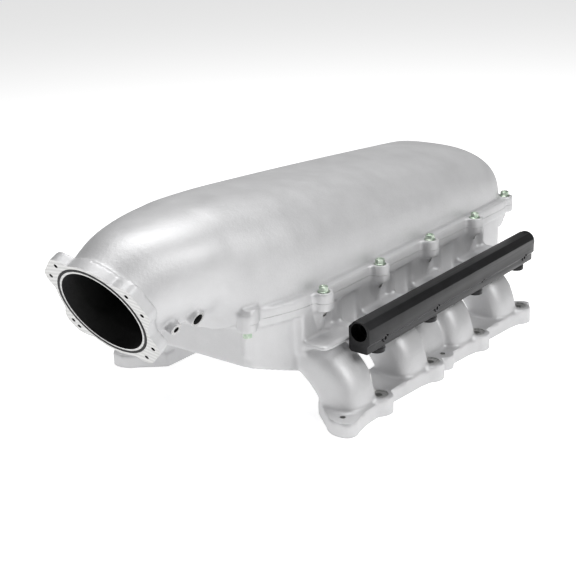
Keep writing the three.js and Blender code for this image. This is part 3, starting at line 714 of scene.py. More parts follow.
@dataclass(frozen=True)
class Rubber:
    """Moulded rubber: almost black, dull, with a faint bloom."""

    name: str = "moulded_rubber"
    base: str = "161617"
    bloom: str = "232325"

    def make(self) -> bpy.types.Material:
        """Build the material.

        Returns:
            The material.
        """
        material, tree, shader, place = start_finish(self.name)
        shader.inputs["Roughness"].default_value = 0.75
        haze = add_node(tree, "ShaderNodeTexNoise", {"Scale": 260.0, "Detail": 3.0},
                        {"Vector": place})
        colour = ramp(tree, haze.outputs["Fac"], [(0.3, srgb(self.base)), (0.7, srgb(self.bloom))])
        tree.links.new(colour, shader.inputs["Base Color"])
        relief(tree, shader, haze.outputs["Fac"], 0.2, 0.0001)
        return material


@dataclass
class Finishes:
    """Every finish of the part, made once."""

    cast: bpy.types.Material = field(init=False)
    core: bpy.types.Material = field(init=False)
    machined: bpy.types.Material = field(init=False)
    rail: bpy.types.Material = field(init=False)
    turned: bpy.types.Material = field(init=False)
    oxide: bpy.types.Material = field(init=False)
    zinc: bpy.types.Material = field(init=False)
    rubber: bpy.types.Material = field(init=False)

    def __post_init__(self) -> None:
        """Make the materials."""
        self.cast = CastAluminium().make()
        # inside walls left by the sand core: coarser and duller than the blasted outside, and painted
        # near-black as shade inside the hollows, bores and holes
        self.core = CastAluminium(
            name="cast_aluminium_sand_core", light="303030", dark="1C1C1C",
            metallic=0.2, roughness=0.7, grain_mm=2.4, relief_mm=0.4,
        ).make()
        self.machined = MachinedAluminium().make()
        # hard-anodised extrusion, faint die lines along its length
        self.rail = Anodised("black_anodised_extrusion", "1E1E1F", "29292B", 0.36, 1.5, True).make()
        # turned and anodised cups, lines round the axis
        self.turned = Anodised("black_anodised_turned", "121213", "1E1E20", 0.3, 0.8, False).make()
        # black oxide on steel socket screws
        self.oxide = Anodised("black_oxide_steel", "2A2A2C", "404043", 0.26, 2.5, False).make()
        self.zinc = ZincPlate().make()
        self.rubber = Rubber().make()


def painted(solid: Solid, material: bpy.types.Material) -> Solid:
    """Give a solid one material and hand it back."""
    solid.data.materials.clear()
    solid.data.materials.append(material)
    return solid


def carve(solid: Solid, tool: Solid, material: bpy.types.Material) -> None:
    """Cut a tool away and give the faces that it leaves one material."""
    meet(solid, painted(tool, material), Boolean.CUT)


# ------------------------------------------------------------------ outlines
def joint_outline(inset: float) -> list[Point2]:
    """Draw the outline of the joint between the castings.

    Args:
        inset: How far it is drawn in.

    Returns:
        The outline in plan.
    """
    half = LAYOUT.plenum_half_width - inset
    front = LAYOUT.plenum_front_y + inset
    rear = LAYOUT.plenum_rear_y - inset
    corner = LAYOUT.plenum_corner - inset
    nose = LAYOUT.corner_bolt[0] - 0.004 - inset / 2
    shoulder = LAYOUT.bolt_y - 0.018
    right = curve([(nose - 0.012, front), (nose + 0.006, front), (nose + 0.010, front + 0.016)], 8)
    right += curve([(nose + 0.010, front + 0.016), (half, shoulder - 0.020), (half, shoulder)], 8)[1:]
    right += arc((half - corner, rear - corner), corner, 0, 90, 12)
    return right + [(-x, y) for x, y in reversed(right)]


def throttle_outline(radius: float, circle: float, lobe: float) -> list[Point2]:
    """Draw the outline of the throttle flange, seen on its face.

    Args:
        radius: Radius between the lobes.
        circle: Radius of the bolt circle.
        lobe: How far a lobe reaches past its bolts.

    Returns:
        The outline.
    """
    side = math.degrees(math.atan2(lobe, circle))
    root = side + math.degrees(0.16)
    tip = circle + lobe
    lobes = ThrottleFace.lobes()

    def put(length: float, angle: float) -> Point2:
        """Give a point by radius and angle."""
        turn = math.radians(angle)
        return (length * math.cos(turn), length * math.sin(turn))

    outline: list[Point2] = []
    last = lobes[-1][0] + lobes[-1][1] + root - 360
    for middle, half in lobes:
        start, end = middle - half, middle + half
        outline += arc((0.0, 0.0), radius, last, start - root, 12)
        outline += curve([outline[-1], put(tip, start - side), put(tip, start)], 8)[1:]
        outline += curve([put(tip, end), put(tip, end + side), put(radius, end + root)], 8)
        last = end + root
    return outline[1:]


@dataclass(frozen=True)
class ThrottleFace:
    """The tilted face that the throttle body bolts to. Lengths in metres."""

    y: float = -0.249
    z: float = 0.1613
    pitch: float = 25.0
    bore: float = 0.105
    wall: float = 0.005
    radius: float = 0.062
    circle: float = 0.0665
    lobe: float = 0.009
    thickness: float = 0.014
    hole: float = 0.005
    hole_depth: float = 0.013
    seal_radius: float = 0.0566
    groove_width: float = 0.0032
    groove_depth: float = 0.0022

    @staticmethod
    def lobes() -> list[tuple[float, float]]:
        """List the lobes: middle angle and half spread, in degrees."""
        clock = -12.0
        pairs = ((34.0, 22.0), (146.0, 22.0), (221.0, 8.0), (326.0, 22.0))
        return [(middle + clock, spread / 2) for middle, spread in pairs]

    def matrix(self, inward: float = 0.0) -> Matrix:
        """Place the face: local Z points out of it and local Y up it.

        Args:
            inward: How far behind the face the frame starts.

        Returns:
            The frame.
        """
        turn = math.radians(self.pitch)
        across = Vector((1.0, 0.0, 0.0))
        up = Vector((0.0, -math.sin(turn), math.cos(turn)))
        outward = across.cross(up)
        start = Vector((0.0, self.y, self.z)) - outward * inward
        frame_matrix = Matrix((across, up, outward)).transposed().to_4x4()
        frame_matrix.translation = start
        return frame_matrix

    def holes(self) -> list[Point2]:
        """Give the middle of each bolt hole on the face."""
        points = []
        for middle, half in self.lobes():
            for angle in (middle - half, middle + half):
                turn = math.radians(angle)
                points.append((self.circle * math.cos(turn), self.circle * math.sin(turn)))
        return points


@dataclass(frozen=True)
class Station:
    """One cross-section of the upper casting. Lengths in metres, pitch in degrees."""

    y: float
    z: float
    half_width: float
    up: float
    down: float
    power: float
    pitch: float

    def between(self, other: "Station", before: "Station", after: "Station", share: float) -> "Station":
        """Blend smoothly to the next section.

        Args:
            other: The next section.
            before: The section before this one.
            after: The section after the next.
            share: How far along, 0 to 1.

        Returns:
            The blended section.
        """
        values = []
        for name in ("y", "z", "half_width", "up", "down", "power", "pitch"):
            p0, p1, p2, p3 = (getattr(item, name) for item in (before, self, other, after))
            a = 2 * p1
            b = p2 - p0
            c = 2 * p0 - 5 * p1 + 4 * p2 - p3
            d = -p0 + 3 * p1 - 3 * p2 + p3
            values.append(0.5 * (a + b * share + c * share ** 2 + d * share ** 3))
        return Station(*values)

    def ring(self, inset: float, sides: int) -> list[Vector]:
        """Give the points of the section.

        Args:
            inset: How far it is drawn in.
            sides: Number of points.

        Returns:
            The ring.
        """
        points = []
        turn = math.radians(self.pitch)
        for step in range(sides):
            angle = 2 * math.pi * step / sides
            across = math.copysign(abs(math.cos(angle)) ** (2 / self.power), math.cos(angle))
            high = math.copysign(abs(math.sin(angle)) ** (2 / self.power), math.sin(angle))
            rise = high * ((self.up if high > 0 else self.down) - inset)
            points.append(Vector((
                across * (self.half_width - inset),
                self.y - rise * math.sin(turn),
                self.z + rise * math.cos(turn),
            )))
        return points


# ------------------------------------------------------------------ upper casting
@dataclass
class PlenumTop:
    """The upper casting: domed roof, snout and throttle flange in one piece. Lengths in metres."""

    finishes: Finishes
    face: ThrottleFace = field(default_factory=ThrottleFace)
    roof_front_z: float = 0.248
    roof_rear_z: float = 0.214
    belly_z: float = 0.135
    roof_end: float = 0.066
    end_rise: float = 0.45
    end_narrow: float = 0.040
    grain: float = 0.0021
    passes: int = 3
    spot_radius: float = 0.0078
    port_tilt: float = 24.0
    port_length: float = 0.012
    # X, Y, Z, hole radius and boss radius of each tapped side port
    ports: tuple[tuple[float, float, float, float, float], ...] = (
        (0.055, -0.176, 0.148, 0.0065, 0.0095),
        (0.049, -0.203, 0.144, 0.0035, 0.0075),
    )
    # area behind the snout, in plan, where the casting ends at the joint
    below_joint: tuple[Point2, ...] = ((-0.3, -0.130), (0.3, -0.130), (0.3, 0.6), (-0.3, 0.6))

    def roof(self, share: float) -> float:
        """Give the roof's height at a share of its length."""
        return self.roof_front_z + (self.roof_rear_z - self.roof_front_z) * share ** 1.25

    def dome(self, y: float, width: float, top: float) -> Station:
        """Give a section of the dome."""
        return Station(y, self.belly_z, width, top - self.belly_z, 0.040, 2.8, 0.0)

    def stations(self) -> list[Station]:
        """List the sections from the throttle face to the rear wall.

        Returns:
            The sections, blended to about 8 mm apart.
        """
        neck = self.face.bore / 2 + self.face.wall
        side = LAYOUT.side_x
        pitch = self.face.pitch
        front = LAYOUT.plenum_front_y
        main = [
            Station(self.face.y - 0.012, self.face.z - 0.0056, neck, neck, neck, 2.0, pitch),
            Station(self.face.y, self.face.z, neck, neck, neck, 2.0, pitch),
            Station(self.face.y + 0.0181, self.face.z + 0.00845, neck + 0.001, neck + 0.001, neck, 2.0,
                    pitch),
            Station(self.face.y + 0.046, 0.178, 0.066, 0.063, 0.058, 2.1, pitch * 0.75),
            Station(self.face.y + 0.078, 0.182, 0.076, 0.063, 0.056, 2.3, pitch * 0.3),
            Station(front - 0.014, 0.176, 0.082, 0.071, 0.048, 2.5, 0.0),
            self.dome(front + LAYOUT.plenum_ledge, side - 0.014, self.roof_front_z),
            self.dome(LAYOUT.bolt_y - 0.045, side - 0.005, self.roof(0.1)),
            self.dome(LAYOUT.bolt_y, side, self.roof(0.2)),
        ]
        last = LAYOUT.plenum_rear_y - LAYOUT.plenum_ledge - self.roof_end
        for share in (0.4, 0.6, 0.8, 1.0):
            along = LAYOUT.bolt_y + (last - LAYOUT.bolt_y) * (share - 0.2) / 0.8
            main.append(self.dome(along, side, self.roof(share)))
        for angle in (22.0, 42.0, 60.0, 76.0, 90.0):
            turn = math.radians(angle)
            drop = self.end_rise + (1 - self.end_rise) * math.cos(turn)
            top = self.belly_z + (self.roof_rear_z - self.belly_z) * drop
            width = side - self.end_narrow * (1 - math.cos(turn)) ** 1.6
            main.append(self.dome(last + self.roof_end * math.sin(turn), width, top))
        blended = [main[0]]
        for index in range(len(main) - 1):
            before = main[max(index - 1, 0)]
            after = main[min(index + 2, len(main) - 1)]
            for step in range(1, 5):
                blended.append(main[index].between(main[index + 1], before, after, step / 4))
        return blended

    def port_point(self, port: tuple[float, float, float, float, float], out: float) -> Vector:
        """Give a point on a side port's axis."""
        turn = math.radians(self.port_tilt)
        return Vector((port[0] + out * math.cos(turn), port[1], port[2] - out * math.sin(turn)))

    def throttle_block(self, name: str, outline: list[Point2], inward: float, outward: float) -> Solid:
        """Raise an outline drawn on the throttle face.

        Args:
            name: The object's name.
            outline: The outline.
            inward: How far it goes behind the face.
            outward: How far it stands out of the face.

        Returns:
            The block.
        """
        block = raise_outline(name, outline, 0.0, inward + outward, Plane.PLAN)
        block.data.transform(self.face.matrix(inward))
        return block

    def throttle_disc(self, radius: float, inward: float, outward: float, sides: int) -> Solid:
        """Raise a disc on the throttle face."""
        outline = arc((0.0, 0.0), radius, 0, 360, sides)[:-1]
        return self.throttle_block("disc", outline, inward, outward)

    def build(self) -> Solid:
        """Build and dress the casting.

        Returns:
            The piece.
        """
        bottom = LAYOUT.parting_z + LAYOUT.joint_gap
        spare = LAYOUT.machining_spare
        sections = self.stations()
        shapes = [loft("shell", [section.ring(0.0, 96) for section in sections])]
        low = raise_outline("below", self.below_joint, 0.05, bottom - spare, Plane.PLAN)
        meet(shapes[0], low, Boolean.CUT)
        shapes.append(raise_outline("flange", joint_outline(0.0), bottom - spare,
                                    LAYOUT.parting_z + LAYOUT.joint_top, Plane.PLAN))
        for x, y, _ in LAYOUT.joint_bolts():
            shapes.append(post("boss", LAYOUT.boss_radius, x, y, bottom - spare,
                               LAYOUT.parting_z + LAYOUT.joint_top + 0.0008))
        for side in (1, -1):
            shapes.append(post("corner", LAYOUT.boss_radius, side * LAYOUT.corner_bolt[0],
                               LAYOUT.corner_bolt[1] + 0.004, bottom - spare,
                               LAYOUT.parting_z + 0.016))
        outline = throttle_outline(self.face.radius, self.face.circle, self.face.lobe)
        shapes.append(self.throttle_block("throttle", outline, self.face.thickness, 0.008))
        for port in self.ports:
            shapes.append(rod("port", port[4], self.port_point(port, -0.006),
                              self.port_point(port, self.port_length + 0.0015)))
        piece = gather("plenum_top_casting", shapes)
        cast_skin(piece, self.grain, self.passes)
        painted(piece, self.finishes.cast)
        self.machine(piece, sections)
        return finish_piece(piece, ["plenum_top"], 40)

    def machine(self, piece: Solid, sections: list[Station]) -> None:
        """Hollow the casting and cut its faces and holes.

        Args:
            piece: The casting.
            sections: The sections of its outside.
        """
        bottom = LAYOUT.parting_z + LAYOUT.joint_gap
        # the core finish paints the insides of the hollow, the throttle bore, the bolt holes and the port
        # bores near-black as shade
        machined, core = self.finishes.machined, self.finishes.core
        hollow = loft("hollow", [section.ring(LAYOUT.plenum_wall + 0.0006, 96) for section in sections[:-2]])
        carve(piece, hollow, core)
        mouth = self.throttle_disc(self.face.bore / 2, 0.030, 0.02, 128)
        carve(piece, mouth, core)
        room = raise_outline("room", joint_outline(LAYOUT.plenum_ledge + LAYOUT.plenum_wall),
                             bottom - 0.04, LAYOUT.parting_z + 0.014, Plane.PLAN)
        carve(piece, room, core)
        below = raise_outline("below", self.below_joint, 0.0, bottom, Plane.PLAN)
        carve(piece, below, machined)
        front = self.throttle_disc(0.14, 0.0, 0.05, 24)
        carve(piece, front, machined)
        half = self.face.groove_width / 2
        groove = self.throttle_disc(self.face.seal_radius + half, self.face.groove_depth, 0.002, 128)
        island = self.throttle_disc(self.face.seal_radius - half, self.face.groove_depth + 0.001,
                                    0.003, 128)
        meet(groove, island, Boolean.CUT)
        carve(piece, groove, machined)
        for x, up in self.face.holes():
            hole = rod("hole", self.face.hole / 2, self.face.matrix(self.face.hole_depth) @ Vector(
                (x, up, 0.0)), self.face.matrix(-0.002) @ Vector((x, up, 0.0)))
            carve(piece, hole, core)
        for port in self.ports:
            out = self.port_length
            bore = rod("bore", port[3], self.port_point(port, -0.024), self.port_point(port, out + 0.01))
            carve(piece, bore, core)
            end = rod("end", port[4] + 0.004, self.port_point(port, out), self.port_point(port, out + 0.01))
            carve(piece, end, machined)
        for x, y, from_below in LAYOUT.joint_bolts():
            if from_below:
                continue
            seat = LAYOUT.parting_z + LAYOUT.joint_top
            shank = post("shank", LAYOUT.bolt_hole_radius, x, y, bottom - 0.002, seat + 0.002)
            carve(piece, shank, machined)
            spot = post("spot", self.spot_radius, x, y, seat, seat + 0.007)
            carve(piece, spot, machined)


# ------------------------------------------------------------------ lower casting
@dataclass
class ManifoldBase:
    """The lower casting: plenum floor, eight runners and two head flanges. Lengths in metres."""

    finishes: Finishes
    grain: float = 0.0024
    passes: int = 3
    runner_width: float = 0.060
    runner_top_z: float = 0.086
    runner_inner_x: float = 0.121
    runner_foot_x: float = 0.178
    roundness: float = 0.66
    shelf_outer_x: float = 0.144
    bow_z: float = 0.072
    bow_length: float = 0.090
    head_hole: float = 0.0086
    head_boss: float = 0.017
    lug_x: float = 0.1695
    lug_radius: float = 0.014
    lug_hole: float = 0.0066
    lugs: tuple[float, float, float] = (-0.065, 0.147, 0.355)
    spot_radius: float = 0.011
    spot_top_z: float = 0.060
    port_inner_x: float = 0.128
    port_outer_x: float = 0.166
    port_width: float = 0.040

    def runner_ring(self, index: int, share: float, wall: float) -> list[Vector]:
        """Give one cross-section of a runner.

        Args:
            index: The runner, from the front.
            share: How far along it, from the head to the plenum.
            wall: How far the section is drawn in.

        Returns:
            The ring.
        """
        top = self.runner_top_z
        outer = curve([(self.runner_foot_x, 0.002), (self.runner_foot_x, 0.046),
                       (0.160, top - 0.016), (0.122, top - 0.001), (0.088, top)], 24)
        inner = curve([(self.runner_inner_x + 0.003, 0.002), (self.runner_inner_x + 0.003, 0.014),
                       (0.110, LAYOUT.floor_z - 0.010), (0.080, LAYOUT.floor_z + 0.012)], 24)
        step = round(share * 24)
        out, back = Vector(outer[step]), Vector(inner[step])
        middle = (out + back) / 2
        reach = (out - back) / 2
        length = reach.length - wall
        reach.normalize()
        swell = 0.0025 * (abs(share - 0.5) * 2) ** 3
        half = self.runner_width / 2 + swell - wall
        points = []
        for side in range(56):
            angle = 2 * math.pi * side / 56
            along = math.copysign(abs(math.cos(angle)) ** self.roundness, math.cos(angle)) * length
            across = math.copysign(abs(math.sin(angle)) ** self.roundness, math.sin(angle)) * half
            spot = middle + reach * along
            points.append(Vector((spot.x, LAYOUT.runner_y(index) + across, spot.y)))
        return points

    def runner(self, index: int) -> Solid:
        """Skin one runner."""
        return loft("runner", [self.runner_ring(index, step / 24, 0.0) for step in range(25)])

    def passage(self, index: int) -> Solid:
        """Skin the passage inside one runner, open at both ends."""
        rings = [self.runner_ring(index, step / 24, 0.0055) for step in range(1, 25)]
        inner, outer, half = self.port_inner_x, self.port_outer_x, self.port_width / 2
        port = []
        for point in rings[0]:
            share_x = (point.x - 0.1495) / 0.024
            share_y = (point.y - LAYOUT.runner_y(index)) / 0.0245
            x = (inner + outer) / 2 + max(-1.0, min(1.0, share_x)) * (outer - inner) / 2
            y = LAYOUT.runner_y(index) + max(-1.0, min(1.0, share_y)) * half
            port.append(Vector((x, y, 0.0)))
        start = [[Vector((p.x, p.y, z)) for p in port] for z in (LAYOUT.head_face_z - 0.02, 0.004)]
        end = [Vector((p.x - 0.016, p.y, p.z)) for p in rings[-1]]
        return loft("passage", start + rings[2:] + [end])

    def flange_outline(self) -> list[Point2]:
        """Draw the flange that meets the head.

        Returns:
            The outline in plan.
        """
        inner, outer = 0.119, 0.183
        front = self.lugs[0] - self.lug_radius
        rear = self.lugs[2] + self.lug_radius - 0.002
        lug = self.lug_x
        outline = [(inner, LAYOUT.runner_y(0) - 0.018), (lug - 0.020, front + 0.010)]
        outline += curve([outline[-1], (lug - 0.008, front - 0.004), (lug + 0.010, front)], 8)[1:]
        outline += curve([outline[-1], (lug + 0.021, front + 0.003), (lug + 0.019, front + 0.015)], 8)[1:]
        outline += curve([outline[-1], (outer - 0.001, self.lugs[0] + 0.022), (outer, -0.022)], 8)[1:]
        for index in range(LAYOUT.cylinders):
            y = LAYOUT.cylinder_y(index)
            outline += [(outer, y - 0.015), (outer - 0.001, y + self.head_boss)]
            outline += curve([outline[-1], (outer - 0.009, y + 0.020), (outer - 0.007, y + 0.030)], 6)[1:]
            if index < LAYOUT.cylinders - 1:
                outline.append((outer - 0.003, y + LAYOUT.bore_spacing - 0.030))
        outline += curve([outline[-1], (lug + self.lug_radius, rear), (lug + 0.002, rear)], 8)[1:]
        outline += [(lug - 0.020, rear - 0.012), (inner, rear - 0.034)]
        return outline

    def bank(self) -> Solid:
        """Put the rough shapes of one bank together.

        Returns:
            The shapes in one object.
        """
        face = LAYOUT.head_face_z - 0.005
        shapes = [raise_outline("flange", self.flange_outline(), face, LAYOUT.flange_top_z, Plane.PLAN)]
        for index in range(LAYOUT.cylinders):
            y = LAYOUT.runner_y(index)
            shapes.append(self.runner(index))
            shapes.append(post("boss", self.head_boss, LAYOUT.head_bolt_x, LAYOUT.cylinder_y(index),
                               face, LAYOUT.head_boss_top_z + 0.001))
            half = self.runner_width / 2 + 0.002
            # pad that carries the joint boss down to the runner
            bolt_y = LAYOUT.bolt_y + index * LAYOUT.bolt_spacing
            pad = [(0.098, bolt_y - 0.034), (0.1125, bolt_y - 0.030), (0.1125, bolt_y + 0.012),
                   (0.098, bolt_y + 0.016)]
            shapes.append(raise_outline("pad", pad, self.runner_top_z - 0.016,
                                        LAYOUT.parting_z - LAYOUT.joint_base + 0.002, Plane.PLAN))
            shelf = arc((self.shelf_outer_x - 0.008, y - half + 0.008), 0.008, -90, 0, 6)
            shelf += arc((self.shelf_outer_x - 0.008, y + half - 0.008), 0.008, 0, 90, 6)
            shelf += [(0.100, y + half), (0.100, y - half)]
            shapes.append(raise_outline("shelf", shelf, self.runner_top_z - 0.005, self.runner_top_z,
                                        Plane.PLAN))
            shapes.append(post("rib", 0.007, LAYOUT.side_x, LAYOUT.injector_y(index),
                               self.runner_top_z - 0.008, LAYOUT.parting_z - LAYOUT.joint_base + 0.002))
        for index in LAYOUT.stands:
            y = LAYOUT.injector_y(index)
            shapes.append(rod("stand", 0.008, Vector((0.102, y, LAYOUT.rail_screw_z)),
                              Vector((LAYOUT.rail_x - LAYOUT.rail_half_width - 0.0003, y,
                                      LAYOUT.rail_screw_z))))
        shapes.append(post("lug", self.lug_radius, self.lug_x, self.lugs[1], face, LAYOUT.flange_top_z))
        # upright rib on the front wall, below the front bolt
        shapes.append(post("rib", 0.0035, 0.079, -0.1185, 0.082, 0.119))
        web = [(0.125, 0.009), (0.1605, 0.009)]
        web += curve([(0.1605, 0.009), (0.1595, 0.040), (0.142, 0.062), (0.105, 0.070)], 12)[1:]
        web += [(0.100, 0.063)]
        web += curve([(0.100, 0.063), (0.138, 0.054), (0.1495, 0.038), (0.1505, 0.018)], 12)[1:]
        web += [(0.125, 0.016)]
        shapes.append(raise_outline("web", web, LAYOUT.runner_y(1) + 0.024, LAYOUT.runner_y(2) - 0.024,
                                    Plane.SIDE))
        return gather("bank", shapes)

    def bow(self, lift: float) -> Solid:
        """Shape the wedge under the sloping front of the floor.

        Args:
            lift: How far it is raised.

        Returns:
            The wedge.
        """
        front = LAYOUT.plenum_front_y
        start = front - 0.04
        slope = (self.bow_z - LAYOUT.floor_z) / self.bow_length
        side = [(start, -0.018), (start, self.bow_z + lift + slope * 0.04),
                (front + self.bow_length, LAYOUT.floor_z + lift),
                (front + self.bow_length + 0.02, -0.018)]
        wedge = raise_outline("bow", side, -0.2, 0.2, Plane.SIDE)
        wedge.data.transform(Matrix.Rotation(math.radians(90), 4, "Z"))
        face_outward(wedge)
        return wedge

    def build(self) -> Solid:
        """Build and dress the casting.

        Returns:
            The piece.
        """
        top = LAYOUT.parting_z - LAYOUT.joint_gap
        spare = LAYOUT.machining_spare
        housing = raise_outline("housing", joint_outline(LAYOUT.plenum_ledge), LAYOUT.floor_z,
                                top + spare, Plane.PLAN)
        meet(housing, self.bow(0.0), Boolean.CUT)
        underside = LAYOUT.parting_z - LAYOUT.joint_base
        shapes = [housing, raise_outline("joint", joint_outline(0.0), underside, top + spare, Plane.PLAN)]
        for x, y, from_below in LAYOUT.joint_bolts():
            shapes.append(post("boss", LAYOUT.boss_radius, x, y, underside, top + spare))
            if not from_below:
                bpy.ops.object.select_all(action="DESELECT")
                bpy.ops.mesh.primitive_cone_add(vertices=32, radius1=0.003, radius2=0.0105, depth=0.024,
                                                location=(x * 0.94, y * 0.995, underside - 0.0118))
                column = bpy.context.view_layer.objects.active
                bpy.ops.object.transform_apply(location=True)
                shapes.append(column)
        bank = self.bank()
        shapes += [bank, mirrored(bank, "other_bank")]
        piece = gather("manifold_base_casting", shapes)
        cast_skin(piece, self.grain, self.passes)
        painted(piece, self.finishes.cast)
        self.machine(piece)
        return finish_piece(piece, ["manifold_base"], 40)

    def machine(self, piece: Solid) -> None:
        """Hollow the casting and cut its faces and holes.

        Args:
            piece: The casting.
        """
        top = LAYOUT.parting_z - LAYOUT.joint_gap
        # the core finish paints the plenum room and the runner passages near-black as shade
        machined, core = self.finishes.machined, self.finishes.core
        wall = LAYOUT.plenum_wall
        room = raise_outline("room", joint_outline(LAYOUT.plenum_ledge + wall), LAYOUT.floor_z + wall,
                             top + 0.02, Plane.PLAN)
        meet(room, self.bow(wall), Boolean.CUT)
        carve(piece, room, core)
        wide = [(-0.3, -0.3), (0.3, -0.3), (0.3, 0.6), (-0.3, 0.6)]
        above = raise_outline("above", wide, top, top + 0.05, Plane.PLAN)
        carve(piece, above, machined)
        below = raise_outline("below", wide, -0.06, LAYOUT.head_face_z, Plane.PLAN)
        carve(piece, below, machined)
        for side in (1, -1):
            for index in range(LAYOUT.cylinders):
                y = LAYOUT.cylinder_y(index)
                tool = self.passage(index)
                if side < 0:
                    tool.data.transform(MIRROR_X)
                    tool.data.flip_normals()
                carve(piece, tool, core)
                x = side * LAYOUT.head_bolt_x
                hole = post("hole", self.head_hole / 2, x, y, LAYOUT.head_face_z - 0.002,
                            LAYOUT.head_boss_top_z + 0.004)
                carve(piece, hole, machined)
                spot = post("spot", self.spot_radius, x, y, LAYOUT.head_boss_top_z, self.spot_top_z, 48)
                carve(piece, spot, machined)
            for y in self.lugs:
                lug = post("lug", self.lug_hole / 2, side * self.lug_x, y, LAYOUT.head_face_z - 0.002,
                           LAYOUT.flange_top_z + 0.004)
                carve(piece, lug, machined)
        for x, y, _ in LAYOUT.joint_bolts():
            shank = post("shank", LAYOUT.bolt_hole_radius, x, y, LAYOUT.parting_z - 0.018,
                         LAYOUT.parting_z + 0.002)
            carve(piece, shank, machined)


# ------------------------------------------------------------------ fuel rails
def turned_body(name: str, profile: list[Point2], sides: int = 48) -> Solid:
    """Turn a profile about Z, as on a lathe.

    Args:
        name: The object's name.
        profile: Radius and height of each corner, closed by the axis.
        sides: Number of sides.

    Returns:
        The body.
    """
    points = [Vector((radius, 0.0, height)) for radius, height in profile]
    mesh = bpy.data.meshes.new(name)
    mesh.from_pydata([tuple(p) for p in points], [(i, i + 1) for i in range(len(points) - 1)], [])
    solid = bpy.data.objects.new(name, mesh)
    bpy.context.scene.collection.objects.link(solid)
    activate(solid)
    bpy.ops.object.mode_set(mode="EDIT")
    bpy.ops.mesh.select_all(action="SELECT")
    bpy.ops.mesh.spin(steps=sides, angle=2 * math.pi, center=(0, 0, 0), axis=(0, 0, 1))
    bpy.ops.object.mode_set(mode="OBJECT")
    face_outward(solid)
    return solid


def lay_along(solid: Solid, direction: Vector, place: Vector) -> Solid:
    """Turn a body from Z to a direction and move it, in its mesh."""
    turn = direction.to_track_quat("Z", "Y").to_matrix().to_4x4()
    solid.data.transform(Matrix.Translation(place) @ turn)
    return solid


@dataclass
class FuelRail:
    """One extruded fuel rail. Lengths in metres."""

    finishes: Finishes
    bore: float = 0.018
    port: float = 0.022
    port_depth: float = 0.016
    screw_head: float = 0.0085
    sink: float = 0.007

    def profile(self) -> list[Point2]:
        """Draw the extrusion's section: chamfered top, shoulder and narrower foot."""
        inner = LAYOUT.rail_x - LAYOUT.rail_half_width
        outer = LAYOUT.rail_x + LAYOUT.rail_half_width
        top = LAYOUT.rail_z + 0.012
        foot = LAYOUT.rail_underside
        return [(inner, foot + 0.003), (inner + 0.003, foot), (outer - 0.003, foot),
                (outer - 0.003, LAYOUT.rail_z - 0.016), (outer, LAYOUT.rail_z - 0.013),
                (outer, top - 0.007), (outer - 0.007, top), (inner + 0.007, top),
                (inner, top - 0.007)]

    def build(self, bank: Bank) -> Solid:
        """Build the rail of one bank.

        Args:
            bank: The bank.

        Returns:
            The piece.
        """
        front = LAYOUT.rail_front_y
        rear = LAYOUT.injector_y(LAYOUT.cylinders - 1) + LAYOUT.rail_rear_end
        piece = raise_outline("rail", self.profile(), front, rear, Plane.SIDE)
        apply_modifier(piece, "BEVEL", width=0.0007, segments=3, limit_method="ANGLE",
                       angle_limit=math.radians(30))
        painted(piece, self.finishes.rail)
        x, z = LAYOUT.rail_x, LAYOUT.rail_z
        cuts = [(self.bore / 2, front - 0.002, rear + 0.002),
                (self.port / 2, front - 0.002, front + self.port_depth),
                (self.port / 2, rear - self.port_depth, rear + 0.002)]
        for radius, start, end in cuts:
            tool = rod("bore", radius, Vector((x, start, z)), Vector((x, end, z)), 64)
            carve(piece, tool, self.finishes.turned)
        face = x + LAYOUT.rail_half_width
        for index in LAYOUT.stands:
            y, height = LAYOUT.injector_y(index), LAYOUT.rail_screw_z
            sink = rod("sink", self.screw_head / 2 + 0.0008, Vector((face - self.sink, y, height)),
                       Vector((face + 0.002, y, height)), 48)
            carve(piece, sink, self.finishes.turned)
            through = rod("through", 0.0028, Vector((x - 0.018, y, height)), Vector((face, y, height)))
            carve(piece, through, self.finishes.turned)
        for offset, height in ((-0.0012, 0.0836), (0.0, 0.0795)):
            y = LAYOUT.injector_y(2) + offset
            pin = rod("pin", 0.0012, Vector((face - 0.006, y, height)),
                      Vector((face + 0.002, y, height)), 24)
            carve(piece, pin, self.finishes.turned)
        for index in range(LAYOUT.cylinders):
            neck = post("neck", 0.0083, x, LAYOUT.injector_y(index), LAYOUT.rail_underside - 0.002,
                        LAYOUT.rail_underside + 0.0033)
            carve(piece, neck, self.finishes.turned)
        side = bank.name.lower()
        if bank is Bank.RIGHT:
            piece.data.transform(MIRROR_X)
            piece.data.flip_normals()
        piece.name = f"fuel_rail_{side}_extrusion"
        return finish_piece(piece, [f"fuel_rail_{side}"], 30)


